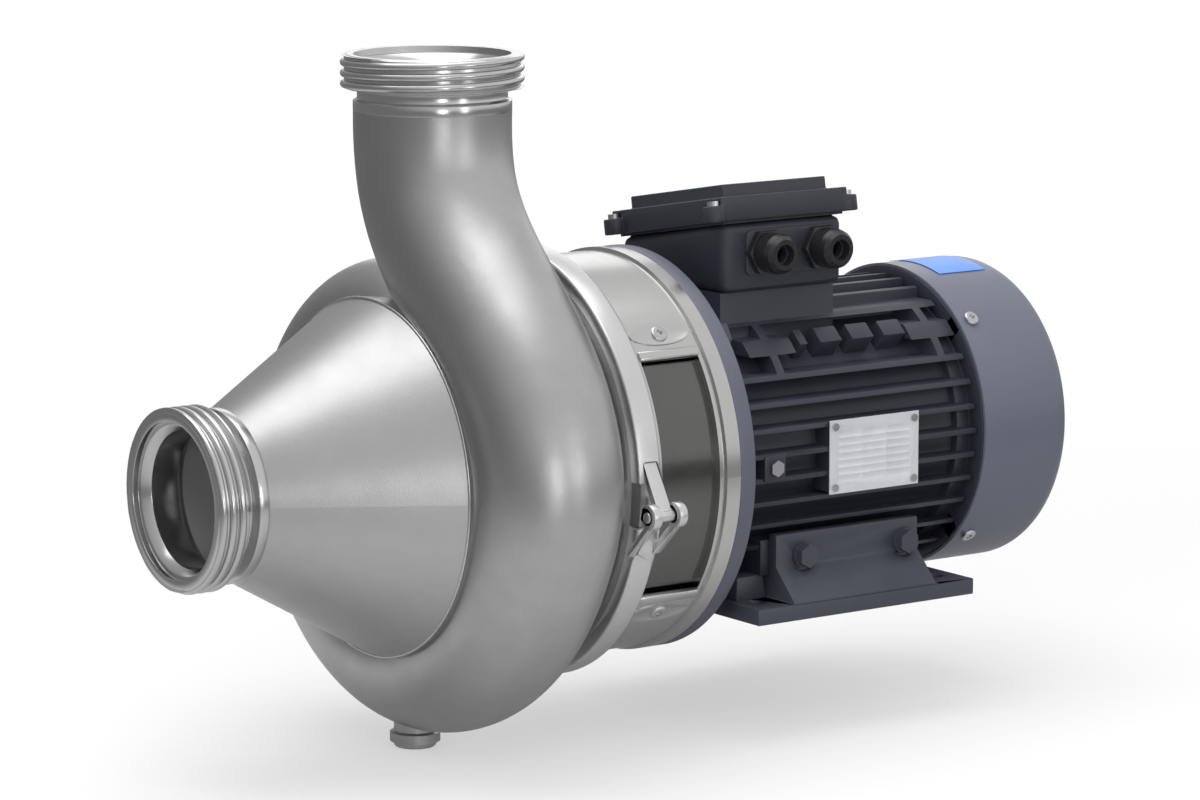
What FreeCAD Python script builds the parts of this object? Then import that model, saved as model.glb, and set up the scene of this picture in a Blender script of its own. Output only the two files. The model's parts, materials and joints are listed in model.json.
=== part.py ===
"""Sanitary centrifugal pump: round-thread unions, spiral casing, clamp band, lantern and foot-mounted motor.

Millimetres. +Z is up, the shaft lies along Y with the inlet at -Y, and the origin is the centre of
the motor's four foot holes, on the plane that the feet stand on.
"""

import FreeCAD, Part
import math
import os
import re

import Sketcher

# Driving sizes

SIZES = {
    # Overall places along the shaft, from the centre of the foot holes
    "axis_height": 100,
    "inlet_y": -435.4,
    "cone_base_y": -300,
    "volute_y": -253.5,
    "parting_y": -189,
    "flange_face_y": -116.5,
    # Pipe unions with round thread
    "pipe_bore_r": 40.5,
    "union_length": 34,
    "thread_r": 55,
    "thread_root_r": 52.6,
    "thread_bead_r": 2.4,
    "thread_pitch": 6.35,
    "thread_turns": 3,
    "union_rim": 1.2,
    "seat_r": 47,
    "seat_step": 4,
    "seat_depth": 9,
    "union_neck_r": 45,
    "collar_length": 7.5,
    "collar_r": 52,
    "groove_length": 5,
    "discharge_rise": 251.7,
    # Casing
    "casing_wall": 3,
    "cone_mouth_r": 50,
    "cone_base_r": 107.8,
    "chamber_r": 104,
    "volute_start_r": 38,
    "volute_end_r": 45,
    "volute_start_angle": 75,
    "volute_start_reach": 116,
    "volute_rise_angle": 110,
    "volute_rise_reach": 133,
    "volute_left_angle": 180,
    "volute_left_reach": 167,
    "volute_low_angle": 285,
    "volute_low_reach": 158.5,
    "volute_end_reach": 164,
    "cutwater_angle": 118,
    "neck_r": 47.5,
    "neck_top_rise": 217.7,
    "neck_bend_rise": 203,
    "skirt_r": 119,
    "flange_root_r": 122,
    "flange_r": 128,
    "flange_root_t": 6,
    "flange_tip_t": 3.5,
    "drain_x": -23.5,
    "drain_r": 15.5,
    "drain_bore_r": 9,
    "drain_drop": 171.5,
    "drain_collar": 5.5,
    "drain_neck_r": 13,
    "drain_length": 8.5,
    "drain_plug_r": 13,
    "drain_plug_length": 10,
    "drain_plug_af": 12,
    "drain_plug_head": 3.5,
    "drain_plug_socket": 5,
    # Cover, seal and o-ring
    "cover_t": 8,
    "cover_rim_r": 115,
    "cover_rim_t": 6,
    "shaft_hole_r": 16.5,
    "fit_gap": 0.1,
    "o_ring_r": 109.5,
    "o_ring_section_r": 1.6,
    "seal_shaft_r": 14,
    "seal_seat_r": 22,
    "seal_seat_t": 8,
    "seal_face_r": 21,
    "seal_face_t": 9,
    "seal_proud": 1,
    "seal_seat_gap": 1.5,
    "seal_gap": 0.05,
    "spring_wire": 2.2,
    "spring_r": 17.5,
    "spring_turns": 3.5,
    # Impeller and pump shaft
    "impeller_r": 92,
    "impeller_plate_t": 6,
    "impeller_back_y": -216,
    "impeller_nose_y": -372,
    "hub_nose_r": 15,
    "hub_back_r": 36,
    "blade_t": 8,
    "blade_count": 3,
    "blade_sweep": 230,
    "blade_nose_r": 60,
    "blade_nose_set": 2,
    "stub_shaft_r": 14,
    "stub_tip_r": 11,
    "nut_thread_r": 8,
    "nut_thread_length": 13,
    "nut_length": 20,
    "nut_r": 15,
    "sleeve_r": 25,
    "sleeve_nose_y": -180,
    "collar_clamp_r": 36,
    "collar_clamp_length": 12,
    "collar_slot": 2,
    "sleeve_length": 52,
    "splash_ring_r": 38,
    "splash_ring_t": 3,
    "splash_ring_y": -179,
    # Clamp band
    "band_r": 133,
    "band_half_width": 8,
    "band_leg_r": 124,
    "band_gap": 0.4,
    "hinge_angle": -5,
    "upper_start_angle": 2,
    "lower_end_angle": 10,
    "hinge_r": 147,
    "hinge_pin_r": 3.5,
    "hinge_pin_length": 26,
    "hinge_gap": 0.3,
    "hook_width": 6,
    "hook_wall": 4,
    "hook_offset": 9.2,
    "tongue_width": 10,
    "tongue_t": 5,
    "closure_lug_t": 9,
    "closure_lug_reach": 20,
    "closure_lug_gap": 5,
    "closure_screw_r": 4,
    "closure_core_r": 3.2,
    "closure_screw_length": 42,
    "closure_nut_height": 7,
    "closure_wing_span": 34,
    # Lantern
    "lantern_r": 123,
    "lantern_wall": 4,
    "lantern_front_t": 6,
    "lantern_rear_t": 10,
    "lantern_front_bore_r": 60,
    "window_half_height": 75,
    "window_front_gap": 16,
    "window_rear_gap": 14,
    "guard_lap": 2.5,
    "guard_t": 1.5,
    "guard_reach_angle": 47,
    "guard_screw_angle": 43.5,
    "guard_screw_r": 2.5,
    "guard_screw_head_r": 5.5,
    "guard_screw_head_t": 3,
    "guard_screw_length": 9,
    "guard_seat_r": 8,
    "guard_seat_depth": 1.4,
    # Motor flange and shields
    "motor_flange_r": 125,
    "motor_flange_t": 12,
    "flange_pcd_r": 107.5,
    "flange_hole_r": 7.25,
    "flange_bolt_r": 6,
    "flange_bolt_length": 22,
    "flange_bolt_head_af": 18,
    "flange_bolt_head_t": 7.5,
    "washer_t": 2.5,
    "washer_r": 11.5,
    "spigot_r": 90,
    "spigot_t": 4,
    "shield_r": 84,
    "shield_wall": 7,
    "shield_register": 5,
    "bearing_outer_r": 31,
    "bearing_inner_r": 15,
    "bearing_width": 16,
    "bearing_ball_r": 4.75,
    "bearing_shoulder": 2.6,
    "bearing_ball_count": 9,
    "drive_bearing_y": -104.5,
    "rear_bearing_y": 76,
    # Frame
    "frame_front_y": -88.5,
    "frame_rear_y": 94,
    "frame_bore_r": 72,
    "frame_r": 78,
    "fin_r": 92,
    "fin_t": 3.2,
    "fin_pitch": 15.2,
    "fin_offset": 2.2,
    "frame_ring_t": 9,
    "foot_pad_root_x": 40,
    "foot_pad_low": 54,
    "foot_pad_high": 76,
    "foot_pad_half_length": 62,
    "pad_boss_y": -2,
    "pad_boss_pitch": 25.2,
    "pad_boss_half_length": 8.5,
    "pad_boss_half": 6,
    "pad_boss_angle": 48,
    "end_boss_y": -23.4,
    "end_boss_half_length": 3,
    "rib_front_y": -50,
    "rib_rear_y": 77,
    "rib_t": 6,
    "rib_pad_low": 60,
    "rib_pad_high": 69,
    "rib_pad_length": 18,
    "saddle_half_length": 44,
    "saddle_inset": 6,
    "wire_way_r": 14,
    "earth_boss_x": 93,
    "earth_y": -66,
    "earth_rise": -5,
    "earth_half": 8,
    "earth_screw_r": 3,
    "earth_screw_length": 12,
    "stator_half_length": 46,
    "stator_bore_r": 45.4,
    "rotor_r": 45,
    "winding_overhang": 24,
    "winding_inset": 2,
    "motor_shaft_r": 14,
    "motor_shaft_length": 60,
    "shaft_seat_r": 15,
    "rotor_seat_r": 18,
    "shaft_key_width": 8,
    "shaft_key_height": 7,
    "shaft_key_proud": 3,
    "shaft_key_length": 40,
    # Fan and cowl
    "rear_shield_t": 6,
    "cowl_front_y": 97,
    "cowl_rear_y": 170,
    "cowl_r": 97.5,
    "cowl_wall": 1.8,
    "cowl_corner_r": 14,
    "cowl_screw_y": 107,
    "cowl_screw_r": 2.5,
    "cowl_screw_length": 8,
    "cowl_screw_head_r": 5,
    "cowl_screw_head_t": 2.6,
    "cowl_ear_width": 11,
    "grille_first_r": 16,
    "grille_slot": 5,
    "grille_bar": 4,
    "grille_spoke": 5,
    "label_front_y": 113,
    "label_length": 38,
    "label_t": 0.3,
    "label_gap": 0.3,
    "label_angle": 87,
    "label_spread": 30,
    "fan_y": 109,
    "fan_width": 26,
    "fan_plate_t": 3,
    "fan_r": 78,
    "fan_hub_r": 20,
    "fan_blade_t": 3,
    "fan_blades": 7,
    "fan_shaft_r": 12,
    # Feet
    "foot_hole_x": 160,
    "foot_hole_y": 140,
    "foot_hole_r": 6,
    "foot_half_width": 102,
    "foot_length": 170,
    "foot_t": 10,
    "foot_bolt_middle": 4,
    "foot_bolt_y": 39.5,
    "foot_bolt_drop": 64,
    "foot_bolt_r": 4,
    "foot_bolt_depth": 14,
    "foot_bolt_head_af": 13,
    "foot_bolt_head_t": 5.5,
    "foot_bolt_length": 22,
    "foot_washer_r": 8,
    "foot_upright_t": 8,
    "foot_top": 50,
    "foot_web_top": 30,
    "foot_web_x": 101,
    "foot_web_length": 112,
    "foot_seat_gap": 2,
    "foot_inner_x": 32,
    "foot_ledge_x": 58,
    "foot_ledge_gap": 0.3,
    "foot_pad_x": 73,
    # Terminal box
    "box_y": -31,
    "box_half_length": 46,
    "box_near_x": 54,
    "box_far_x": -54,
    "box_base_rise": 98,
    "box_lid_rise": 143,
    "box_lid_slope": 10,
    "box_wall": 4,
    "lid_near_x": 60,
    "lid_t": 15,
    "lid_plateau_t": 8,
    "gasket_t": 1.5,
    "lid_rim": 3,
    "lid_step": 9,
    "lid_roof_t": 3,
    "lid_lug_y": 51,
    "lid_lug_r": 7,
    "lid_lug_t": 10,
    "lid_lug_inset": 5,
    "lid_screw_r": 2,
    "lid_screw_head_r": 4,
    "lid_screw_head_t": 3,
    "gland_front_y": -46,
    "gland_pitch": 43,
    "gland_rise": 122.5,
    "gland_thread_r": 8,
    "gland_af": 26,
    "gland_nut_r": 12.5,
    "gland_bore_r": 6.5,
    "gland_flange_t": 6,
    "gland_collar_r": 10.5,
    "gland_collar_length": 10,
    "gland_thread_length": 9,
    "gland_nut_length": 15,
    "gland_seal_length": 6,
    "gland_seal_wall": 1.2,
    "terminal_block_height": 16,
    "terminal_block_x": 44,
    "terminal_block_y": 28,
    "stud_r": 2.5,
    "stud_length": 12,
    "stud_pitch": 12,
    # Nameplate
    "plate_y": 10.5,
    "plate_rise": -3,
    "plate_length": 70,
    "plate_height": 46,
    "plate_t": 0.8,
    "plate_lap": 1,
    "plate_pad_x": 93,
    "rivet_r": 1.6,
    "rivet_head_r": 2.4,
    "rivet_head_t": 1.2,
    "rivet_inset": 4,
    "rivet_length": 5,
}

doc = FreeCAD.newDocument("pump")
sheet = doc.addObject("Spreadsheet::Sheet", "Sizes")
for row, (alias, size) in enumerate(SIZES.items(), start=1):
    sheet.set(f"A{row}", alias.replace("_", " "))
    sheet.set(f"B{row}", str(size))
    sheet.setAlias(f"B{row}", alias)
doc.recompute()

# Ways of making things

V = FreeCAD.Vector
LEVEL = FreeCAD.Rotation()
ALONG_Y = FreeCAD.Rotation(V(1, 0, 0), -90)
ALONG_X = FreeCAD.Rotation(V(0, 1, 0), 90)
FUNCTIONS = {"sin", "cos", "tan", "sqrt", "asin"}
SHAFT = "axis_height"
pieces = []


def bound(text):
    """The expression with the sheet named before each of its cells."""
    return re.sub(r"[a-z]\w*", lambda word: word[0] if word[0] in FUNCTIONS else "Sizes." + word[0], str(text))


def number(text):
    """The value of an expression on the sheet's cells."""
    return float(sheet.evalExpression(bound(text)))


def bind(item, path, text):
    item.setExpression(path, bound(text))


def place(item, x=0, y=0, z=0, turn=LEVEL):
    """Put an object at a point given by expressions, turned by a fixed rotation."""
    item.Placement = FreeCAD.Placement(V(number(x), number(y), number(z)), turn)
    for path, text in zip("xyz", (x, y, z)):
        if isinstance(text, str):
            bind(item, "Placement.Base." + path, text)


def keep(item, label):
    """List an object as a finished piece under its own name."""
    item.Label = label
    pieces.append(item)
    return item


def new_body(label, x=0, y=0, z=SHAFT, turn=LEVEL):
    body = doc.addObject("PartDesign::Body", label)
    place(body, x, y, z, turn)
    return keep(body, label)


def sketch(body, outlines=(), circles=(), plane="XY_Plane", offset=0):
    """A sketch of closed outlines and circles whose corners and radii follow expressions."""
    profile = body.newObject("Sketcher::SketchObject", "Sketch")
    support = next(item for item in body.Origin.OriginFeatures if item.Role == plane)
    profile.AttachmentSupport = [(support, "")]
    profile.MapMode = "FlatFace"
    bind(profile, "AttachmentOffset.Base.z", offset)

    def pin(geometry, point, pair):
        for kind, text in zip(("DistanceX", "DistanceY"), pair):
            rule = Sketcher.Constraint(kind, -1, 1, geometry, point, number(text))
            bind(profile, f"Constraints[{profile.addConstraint(rule)}]", text)

    for outline in outlines:
        corners = [V(number(x), number(y), 0) for x, y in outline]
        after = corners[1:] + corners[:1]
        lines = [profile.addGeometry(Part.LineSegment(a, b), False) for a, b in zip(corners, after)]
        for line, following in zip(lines, lines[1:] + lines[:1]):
            profile.addConstraint(Sketcher.Constraint("Coincident", line, 2, following, 1))
        for line, pair in zip(lines, outline):
            pin(line, 1, pair)
    for x, y, radius in circles:
        centre = V(number(x), number(y), 0)
        ring = profile.addGeometry(Part.Circle(centre, V(0, 0, 1), number(radius)), False)
        pin(ring, 3, (x, y))
        rule = profile.addConstraint(Sketcher.Constraint("Radius", ring, number(radius)))
        bind(profile, f"Constraints[{rule}]", radius)
    return profile


def revolve(body, outlines=(), circles=(), kind="Revolution", plane="XY_Plane"):
    """Turn outlines about the sketch's upright axis, adding to the body or, as a groove, cutting it."""
    profile = sketch(body, outlines, circles, plane)
    feature = body.newObject("PartDesign::" + kind, kind)
    feature.Profile = profile
    feature.ReferenceAxis = (profile, ["V_Axis"])
    feature.Angle = 360
    return feature


def pad(body, length, outlines=(), circles=(), plane="XY_Plane", offset=0, kind="Pad"):
    """Extrude outlines half of the length to each side of their plane, or cut them as a pocket."""
    profile = sketch(body, outlines, circles, plane, offset)
    feature = body.newObject("PartDesign::" + kind, kind)
    feature.Profile = profile
    feature.SideType = "Symmetric"
    bind(feature, "Length", length)
    return feature


def turned(label, *outlines, y=0):
    """A piece turned about the shaft axis from outlines of (radius, place along the shaft)."""
    body = new_body(label, y=y)
    for outline in outlines:
        revolve(body, [outline])
    return body


def ring(label, inner, outer, start, end, y=0):
    return turned(label, [(inner, start), (outer, start), (outer, end), (inner, end)], y=y)


def round_pattern(body, feature, count, axis="Y_Axis"):
    """Repeat a feature of a body evenly round one of the body's own axes."""
    pattern = body.newObject("PartDesign::PolarPattern", "Pattern")
    pattern.Originals = [feature]
    support = next(item for item in body.Origin.OriginFeatures if item.Role == axis)
    pattern.Axis = (support, [""])
    pattern.Angle = 360
    if isinstance(count, str):
        bind(pattern, "Occurrences", count)
    else:
        pattern.Occurrences = count
    body.Tip = pattern
    return pattern


def rectangle(x1, y1, x2, y2):
    return [(x1, y1), (x2, y1), (x2, y2), (x1, y2)]


def hexagon_outline(across_flats):
    """A regular hexagon about the sketch's origin, with a corner on its first axis."""
    corner = f"({across_flats}) / sqrt(3)"
    half = f"({across_flats}) / 2"
    return [(corner, 0), (f"{corner} / 2", half), (f"-{corner} / 2", half),
            (f"-{corner}", 0), (f"-{corner} / 2", f"-{half}"), (f"{corner} / 2", f"-{half}")]


def block(x1, x2, y1, y2, z1, z2):
    """A box between two corners given by expressions."""
    item = doc.addObject("Part::Box", "Block")
    bind(item, "Length", f"({x2}) - ({x1})")
    bind(item, "Width", f"({y2}) - ({y1})")
    bind(item, "Height", f"({z2}) - ({z1})")
    place(item, x1, y1, z1)
    return item


def rod(radius, length, x=0, y=0, z=0, turn=LEVEL):
    item = doc.addObject("Part::Cylinder", "Rod")
    bind(item, "Radius", radius)
    bind(item, "Height", length)
    place(item, x, y, z, turn)
    return item


def hexagon(across_flats, length, x=0, y=0, z=0, turn=LEVEL):
    item = doc.addObject("Part::Prism", "Hexagon")
    item.Polygon = 6
    bind(item, "Circumradius", f"({across_flats}) / sqrt(3)")
    bind(item, "Height", length)
    place(item, x, y, z, turn)
    return item


def fuse(*items):
    item = doc.addObject("Part::MultiFuse", "Joined")
    item.Shapes = list(items)
    return item


def cut(base, *tools):
    item = doc.addObject("Part::Cut", "Trimmed")
    item.Base = base
    item.Tool = tools[0] if len(tools) == 1 else fuse(*tools)
    return item


def group(label, items):
    """Identical pieces kept together as separate solids."""
    item = doc.addObject("Part::Compound", label)
    item.Links = list(items)
    return keep(item, label)


def shaped(label, shape):
    """A piece with a shape of its own, modelled about the shaft axis."""
    item = doc.addObject("Part::Feature", label)
    item.Shape = shape
    place(item, 0, shape.Placement.Base.y, SHAFT, shape.Placement.Rotation)
    return keep(item, label)


# Pipe unions


def union(label, collar, x=0, y=0, z=SHAFT, turn=LEVEL):
    """A male round-thread union whose rim is at the body's origin and whose pipe runs along its +Y."""
    body = new_body(label, x, y, z, turn)
    thread_end = "(thread_turns * thread_pitch + union_rim)"
    collar_start = "(union_length - collar_length)"
    revolve(body, [[
        ("seat_r", 0),
        ("thread_root_r - union_rim", 0),
        ("thread_root_r", "union_rim"),
        ("thread_root_r", thread_end),
        ("union_neck_r", thread_end + " + union_rim"),
        ("union_neck_r", collar_start),
        (collar, collar_start + " + union_rim"),
        (collar, "union_length"),
        ("cone_mouth_r - casing_wall", "union_length"),
        ("pipe_bore_r", collar_start),
        ("pipe_bore_r", "seat_depth"),
        ("seat_r - union_rim * 2", "seat_step"),
        ("seat_r", "seat_step"),
    ]])
    bead = revolve(body, circles=[("thread_root_r", "thread_bead_r + union_rim / 2", "thread_bead_r")])
    beads = body.newObject("PartDesign::LinearPattern", "Thread")
    beads.Originals = [bead]
    beads.Direction = (next(item for item in body.Origin.OriginFeatures if item.Role == "Y_Axis"), [""])
    bind(beads, "Length", "thread_pitch * (thread_turns - 1)")
    bind(beads, "Occurrences", "thread_turns")
    body.Tip = beads
    return body


union("inlet_union", "collar_r", y="inlet_y")
union("discharge_union", "neck_r", y="volute_y", z="axis_height + discharge_rise", turn=ALONG_Y)

# Casing

cone_start = "(inlet_y + union_length)"
turned("suction_cone", [
    ("cone_mouth_r - casing_wall", cone_start),
    ("cone_mouth_r", cone_start),
    ("cone_base_r", "cone_base_y"),
    ("chamber_r", "cone_base_y"),
])


def disc(radius, start, end):
    """A solid cylinder about the shaft between two places along it."""
    return Part.makeCylinder(radius, end - start, V(0, start, 0), V(0, 1, 0))


def section(centre, along, radius):
    """A circle of the casing passage, square to its path, whose seam faces along the shaft."""
    circle = Part.makeCircle(radius)
    across = V(0, 1, 0)
    turn = FreeCAD.Rotation(across, along.cross(across), along, "ZXY")
    circle.Placement = FreeCAD.Placement(centre, turn)
    return Part.Wire(circle)


def tube(rings, picks):
    """A pipe along the centres of the rings that takes its size from some of them."""
    path = Part.BSplineCurve()
    path.interpolate([ring.Edges[0].Curve.Center for ring in rings])
    shell = Part.BRepOffsetAPI.MakePipeShell(Part.Wire(path.toShape()))
    shell.setBiNormalMode(V(0, 1, 0))
    for pick in picks:
        shell.add(rings[pick], False, False)
    shell.build()
    shell.makeSolid()
    return shell.shape()


def spiral_rings(inset, first_angle, overrun):
    """Fifteen steps of the volute from an angle round to its end, then eight up the swan neck."""
    size = {name: number(name) for name in SIZES}
    plane = size["volute_y"]
    span = 360 - size["volute_start_angle"]
    angles = [size[f"volute_{place}_angle"] for place in ("start", "rise", "left", "low")] + [360]
    reaches = [size[f"volute_{place}_reach"] for place in ("start", "rise", "left", "low", "end")]
    edge = Part.BSplineCurve()
    edge.interpolate(Points=[V(reach, 0, 0) for reach in reaches], Parameters=angles)
    rings = []
    for step in range(16):
        degrees = first_angle + (360 - first_angle) * step / 15
        share = (degrees - size["volute_start_angle"]) / span
        radius = size["volute_start_r"] + share * (size["volute_end_r"] - size["volute_start_r"])
        angle = math.radians(degrees)
        out = V(math.cos(angle), 0, math.sin(angle))
        along = V(-math.sin(angle), 0, math.cos(angle))
        rings.append(section(out * (edge.value(degrees).x - radius) + V(0, plane, 0), along, radius - inset))
    start_x = size["volute_end_reach"] - size["volute_end_r"]
    bend = Part.BezierCurve()
    rise = size["neck_bend_rise"]
    bend.setPoles([V(start_x, plane, 0), V(start_x, plane, rise * 0.47), V(0, plane, rise * 0.54), V(0, plane, rise)])
    for step in range(1, 8):
        share = step / 7
        radius = size["volute_end_r"] + share * (size["neck_r"] - size["volute_end_r"])
        rings.append(section(bend.value(share), bend.tangent(share)[0], radius - inset))
    top = V(0, plane, size["neck_top_rise"] + overrun)
    rings.append(section(top, V(0, 0, 1), size["neck_r"] - inset))
    return rings


def casing_shape():
    """The spiral casing with its front plate, rear skirt, clamp flange and drain hole."""
    size = {name: number(name) for name in SIZES}
    parting = size["parting_y"]
    front = size["cone_base_y"]
    skirt_start = size["volute_y"] + size["volute_end_r"] * 0.7
    rings = spiral_rings(0, size["volute_start_angle"], 0)
    outer = tube(rings[:6], (0, 2, 5)).fuse(tube(rings[5:], (0, 5, 10, 18)))
    outer = outer.fuse(disc(size["cone_base_r"], front, skirt_start))
    outer = outer.fuse(disc(size["skirt_r"], skirt_start, parting))
    flange = [
        (size["chamber_r"], parting - size["flange_root_t"]),
        (size["flange_root_r"], parting - size["flange_root_t"]),
        (size["flange_r"], parting - size["flange_tip_t"]),
        (size["flange_r"], parting),
        (size["chamber_r"], parting),
    ]
    outline = Part.makePolygon([V(radius, y, 0) for radius, y in flange + flange[:1]])
    outer = outer.fuse(Part.Face(outline).revolve(V(), V(0, 1, 0), 360))
    drain = V(size["drain_x"], size["volute_y"], 0)
    down = V(0, 0, -1)
    outer = outer.fuse(Part.makeCylinder(
        size["drain_neck_r"], size["drain_drop"] - size["drain_length"], drain, down,
    ))
    inner = tube(spiral_rings(size["casing_wall"], size["cutwater_angle"], 1), (0, 8, 15, 23))
    inner = inner.fuse(disc(size["chamber_r"], front - 1, parting + 1))
    hole = Part.makeCylinder(size["drain_bore_r"], size["drain_drop"], drain, down)
    return outer.cut(inner).cut(hole)


shaped("volute_casing", casing_shape())

drain = new_body("drain_socket", x="drain_x", y="volute_y", z="axis_height - drain_drop")
revolve(drain, [[
    ("drain_bore_r", 0),
    ("drain_r", 0),
    ("drain_r", "drain_collar"),
    ("drain_neck_r", "drain_collar + 1"),
    ("drain_neck_r", "drain_length"),
    ("drain_bore_r", "drain_length"),
]], plane="XZ_Plane")
plug = new_body("drain_plug", x="drain_x", y="volute_y", z="axis_height - drain_drop")
revolve(plug, [[
    (0, "-drain_plug_head"),
    ("drain_plug_r - 1", "-drain_plug_head"),
    ("drain_plug_r", "1 - drain_plug_head"),
    ("drain_plug_r", 0),
    ("drain_bore_r - fit_gap", 0),
    ("drain_bore_r - fit_gap", "drain_plug_length"),
    (0, "drain_plug_length"),
]], plane="XZ_Plane")
pad(plug, "drain_plug_socket * 2", kind="Pocket", offset="-drain_plug_head",
    outlines=[hexagon_outline("drain_plug_af")])

# Cover and shaft seal

cover_front = "(parting_y - cover_t)"
cover_rear = "(parting_y + cover_rim_t)"
groove_r = "o_ring_section_r + fit_gap"
cover = turned("casing_cover", [
    ("seal_seat_r + fit_gap", cover_front),
    ("chamber_r - fit_gap", cover_front),
    ("chamber_r - fit_gap", "parting_y"),
    ("cover_rim_r", "parting_y"),
    ("cover_rim_r", cover_rear),
    ("shaft_hole_r", cover_rear),
    ("shaft_hole_r", cover_front + " + seal_seat_t"),
    ("seal_seat_r + fit_gap", cover_front + " + seal_seat_t"),
])
revolve(cover, kind="Groove", outlines=[rectangle(
    f"o_ring_r - ({groove_r})", "parting_y - 1", f"o_ring_r + {groove_r}", f"parting_y + 2 * ({groove_r})",
)])
o_ring = new_body("casing_o_ring")
revolve(o_ring, circles=[("o_ring_r", f"parting_y + {groove_r}", "o_ring_section_r")])

seat_face = f"({cover_front} - seal_proud)"
ring("seal_seat", "seal_shaft_r + seal_seat_gap", "seal_seat_r", seat_face, cover_front + " + seal_seat_t")
face_front = f"({seat_face} - seal_gap - seal_face_t)"
ring("rotating_seal_face", "seal_shaft_r + fit_gap", "seal_face_r", face_front, f"{seat_face} - seal_gap")


def spring_shape():
    """The seal's coil spring of square wire, between the impeller's back and the rotating face."""
    half_wire = number("spring_wire") / 2
    coil_r = number("spring_r")
    start = number("impeller_back_y") + half_wire
    end = number(face_front) - half_wire
    path = Part.makeHelix((end - start) / number("spring_turns"), end - start, coil_r)
    inner_x, outer_x = coil_r - half_wire, coil_r + half_wire
    corners = [(inner_x, -half_wire), (outer_x, -half_wire), (outer_x, half_wire), (inner_x, half_wire)]
    outline = Part.makePolygon([V(x, 0, z) for x, z in corners + corners[:1]])
    coil = Part.Wire(path).makePipeShell([outline], True, True)
    coil.Placement = FreeCAD.Placement(V(0, start, 0), ALONG_Y)
    return coil


shaped("seal_spring", spring_shape())

# Impeller and pump shaft


def impeller_shape():
    """A conical hub on a back plate with helical blades that widen towards the plate."""
    size = {name: number(name) for name in SIZES}
    nose = size["impeller_nose_y"]
    back = size["impeller_back_y"]
    plate = back - size["impeller_plate_t"]
    hub = [
        (size["stub_tip_r"] + size["fit_gap"], nose),
        (size["hub_nose_r"], nose),
        (size["hub_back_r"], plate),
        (size["impeller_r"], plate),
        (size["impeller_r"], back),
        (size["stub_tip_r"] + size["fit_gap"], back),
    ]
    outline = Part.makePolygon([V(radius, y, 0) for radius, y in hub + hub[:1]])
    shape = Part.Face(outline).revolve(V(), V(0, 1, 0), 360)
    stations = 9
    half = size["blade_t"] / 2
    for blade in range(int(size["blade_count"])):
        strips = []
        for station in range(stations + 1):
            share = station / stations
            y = nose + size["blade_nose_set"] + share * (plate + 1 - nose - size["blade_nose_set"])
            root = size["hub_nose_r"] - 3 + share * (size["hub_back_r"] - size["hub_nose_r"])
            widening = 1 - (1 - share) ** 2
            tip = size["blade_nose_r"] + widening * (size["impeller_r"] - size["blade_nose_r"])
            turn = FreeCAD.Rotation(V(0, 1, 0), 360 * blade / size["blade_count"] - share * size["blade_sweep"])
            corners = [V(root, y, -half), V(tip, y, -half), V(tip, y, half), V(root, y, half)]
            corners = [turn.multVec(corner) for corner in corners]
            strips.append(Part.makePolygon(corners + corners[:1]))
        shape = shape.fuse(Part.makeLoft(strips, True, False))
    bore = disc(size["stub_tip_r"] + size["fit_gap"], nose - 1, back + 1)
    return shape.cut(bore).removeSplitter()


shaped("impeller", impeller_shape())

sleeve_end = "(sleeve_nose_y + sleeve_length)"
key_middle = "(flange_face_y - motor_shaft_length / 2 - 4)"
key_start = f"({key_middle} - shaft_key_length / 2)"
key_top = "(motor_shaft_r + shaft_key_proud)"
pump_shaft = turned("pump_shaft", [
    (0, "impeller_nose_y - nut_thread_length"),
    ("nut_thread_r", "impeller_nose_y - nut_thread_length"),
    ("nut_thread_r", "impeller_nose_y + 1"),
    ("stub_tip_r", "impeller_nose_y + 2"),
    ("stub_tip_r", "impeller_back_y"),
    ("seal_shaft_r", "impeller_back_y"),
    ("seal_shaft_r", "sleeve_nose_y"),
    ("sleeve_r", "sleeve_nose_y"),
    ("sleeve_r", sleeve_end),
    ("motor_shaft_r + fit_gap", sleeve_end),
    ("motor_shaft_r + fit_gap", "flange_face_y - motor_shaft_length - fit_gap"),
    (0, "flange_face_y - motor_shaft_length - fit_gap"),
])
pad(pump_shaft, "shaft_key_width + fit_gap * 2", kind="Pocket", plane="YZ_Plane", outlines=[rectangle(
    f"{key_start} - fit_gap", 0, f"{sleeve_end} + 1", f"{key_top} + fit_gap",
)])
turned("impeller_nut", [
    (0, "impeller_nose_y - nut_length"),
    ("nut_r * 0.45", "impeller_nose_y - nut_length"),
    ("nut_r * 0.8", "impeller_nose_y - nut_length * 0.85"),
    ("nut_r", "impeller_nose_y - nut_length * 0.55"),
    ("nut_r", "impeller_nose_y"),
    ("nut_thread_r + fit_gap", "impeller_nose_y"),
    ("nut_thread_r + fit_gap", "impeller_nose_y - nut_thread_length - fit_gap"),
    (0, "impeller_nose_y - nut_thread_length - fit_gap"),
])
collar_start = f"({sleeve_end} - collar_clamp_length - 2)"
collar = ring("shaft_clamp_collar", "sleeve_r + fit_gap", "collar_clamp_r", collar_start,
              f"{collar_start} + collar_clamp_length")
pad(collar, "collar_clamp_length * 2", kind="Pocket", plane="XZ_Plane", offset=f"-({collar_start})",
    outlines=[rectangle("-collar_slot / 2", 0, "collar_slot / 2", "collar_clamp_r * 2")])
ring("splash_ring", "sleeve_r + fit_gap", "splash_ring_r", "splash_ring_y", "splash_ring_y + splash_ring_t")

# Clamp band


def polar(radius, degrees, y=0):
    return V(radius * math.cos(math.radians(degrees)), y, radius * math.sin(math.radians(degrees)))


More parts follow.
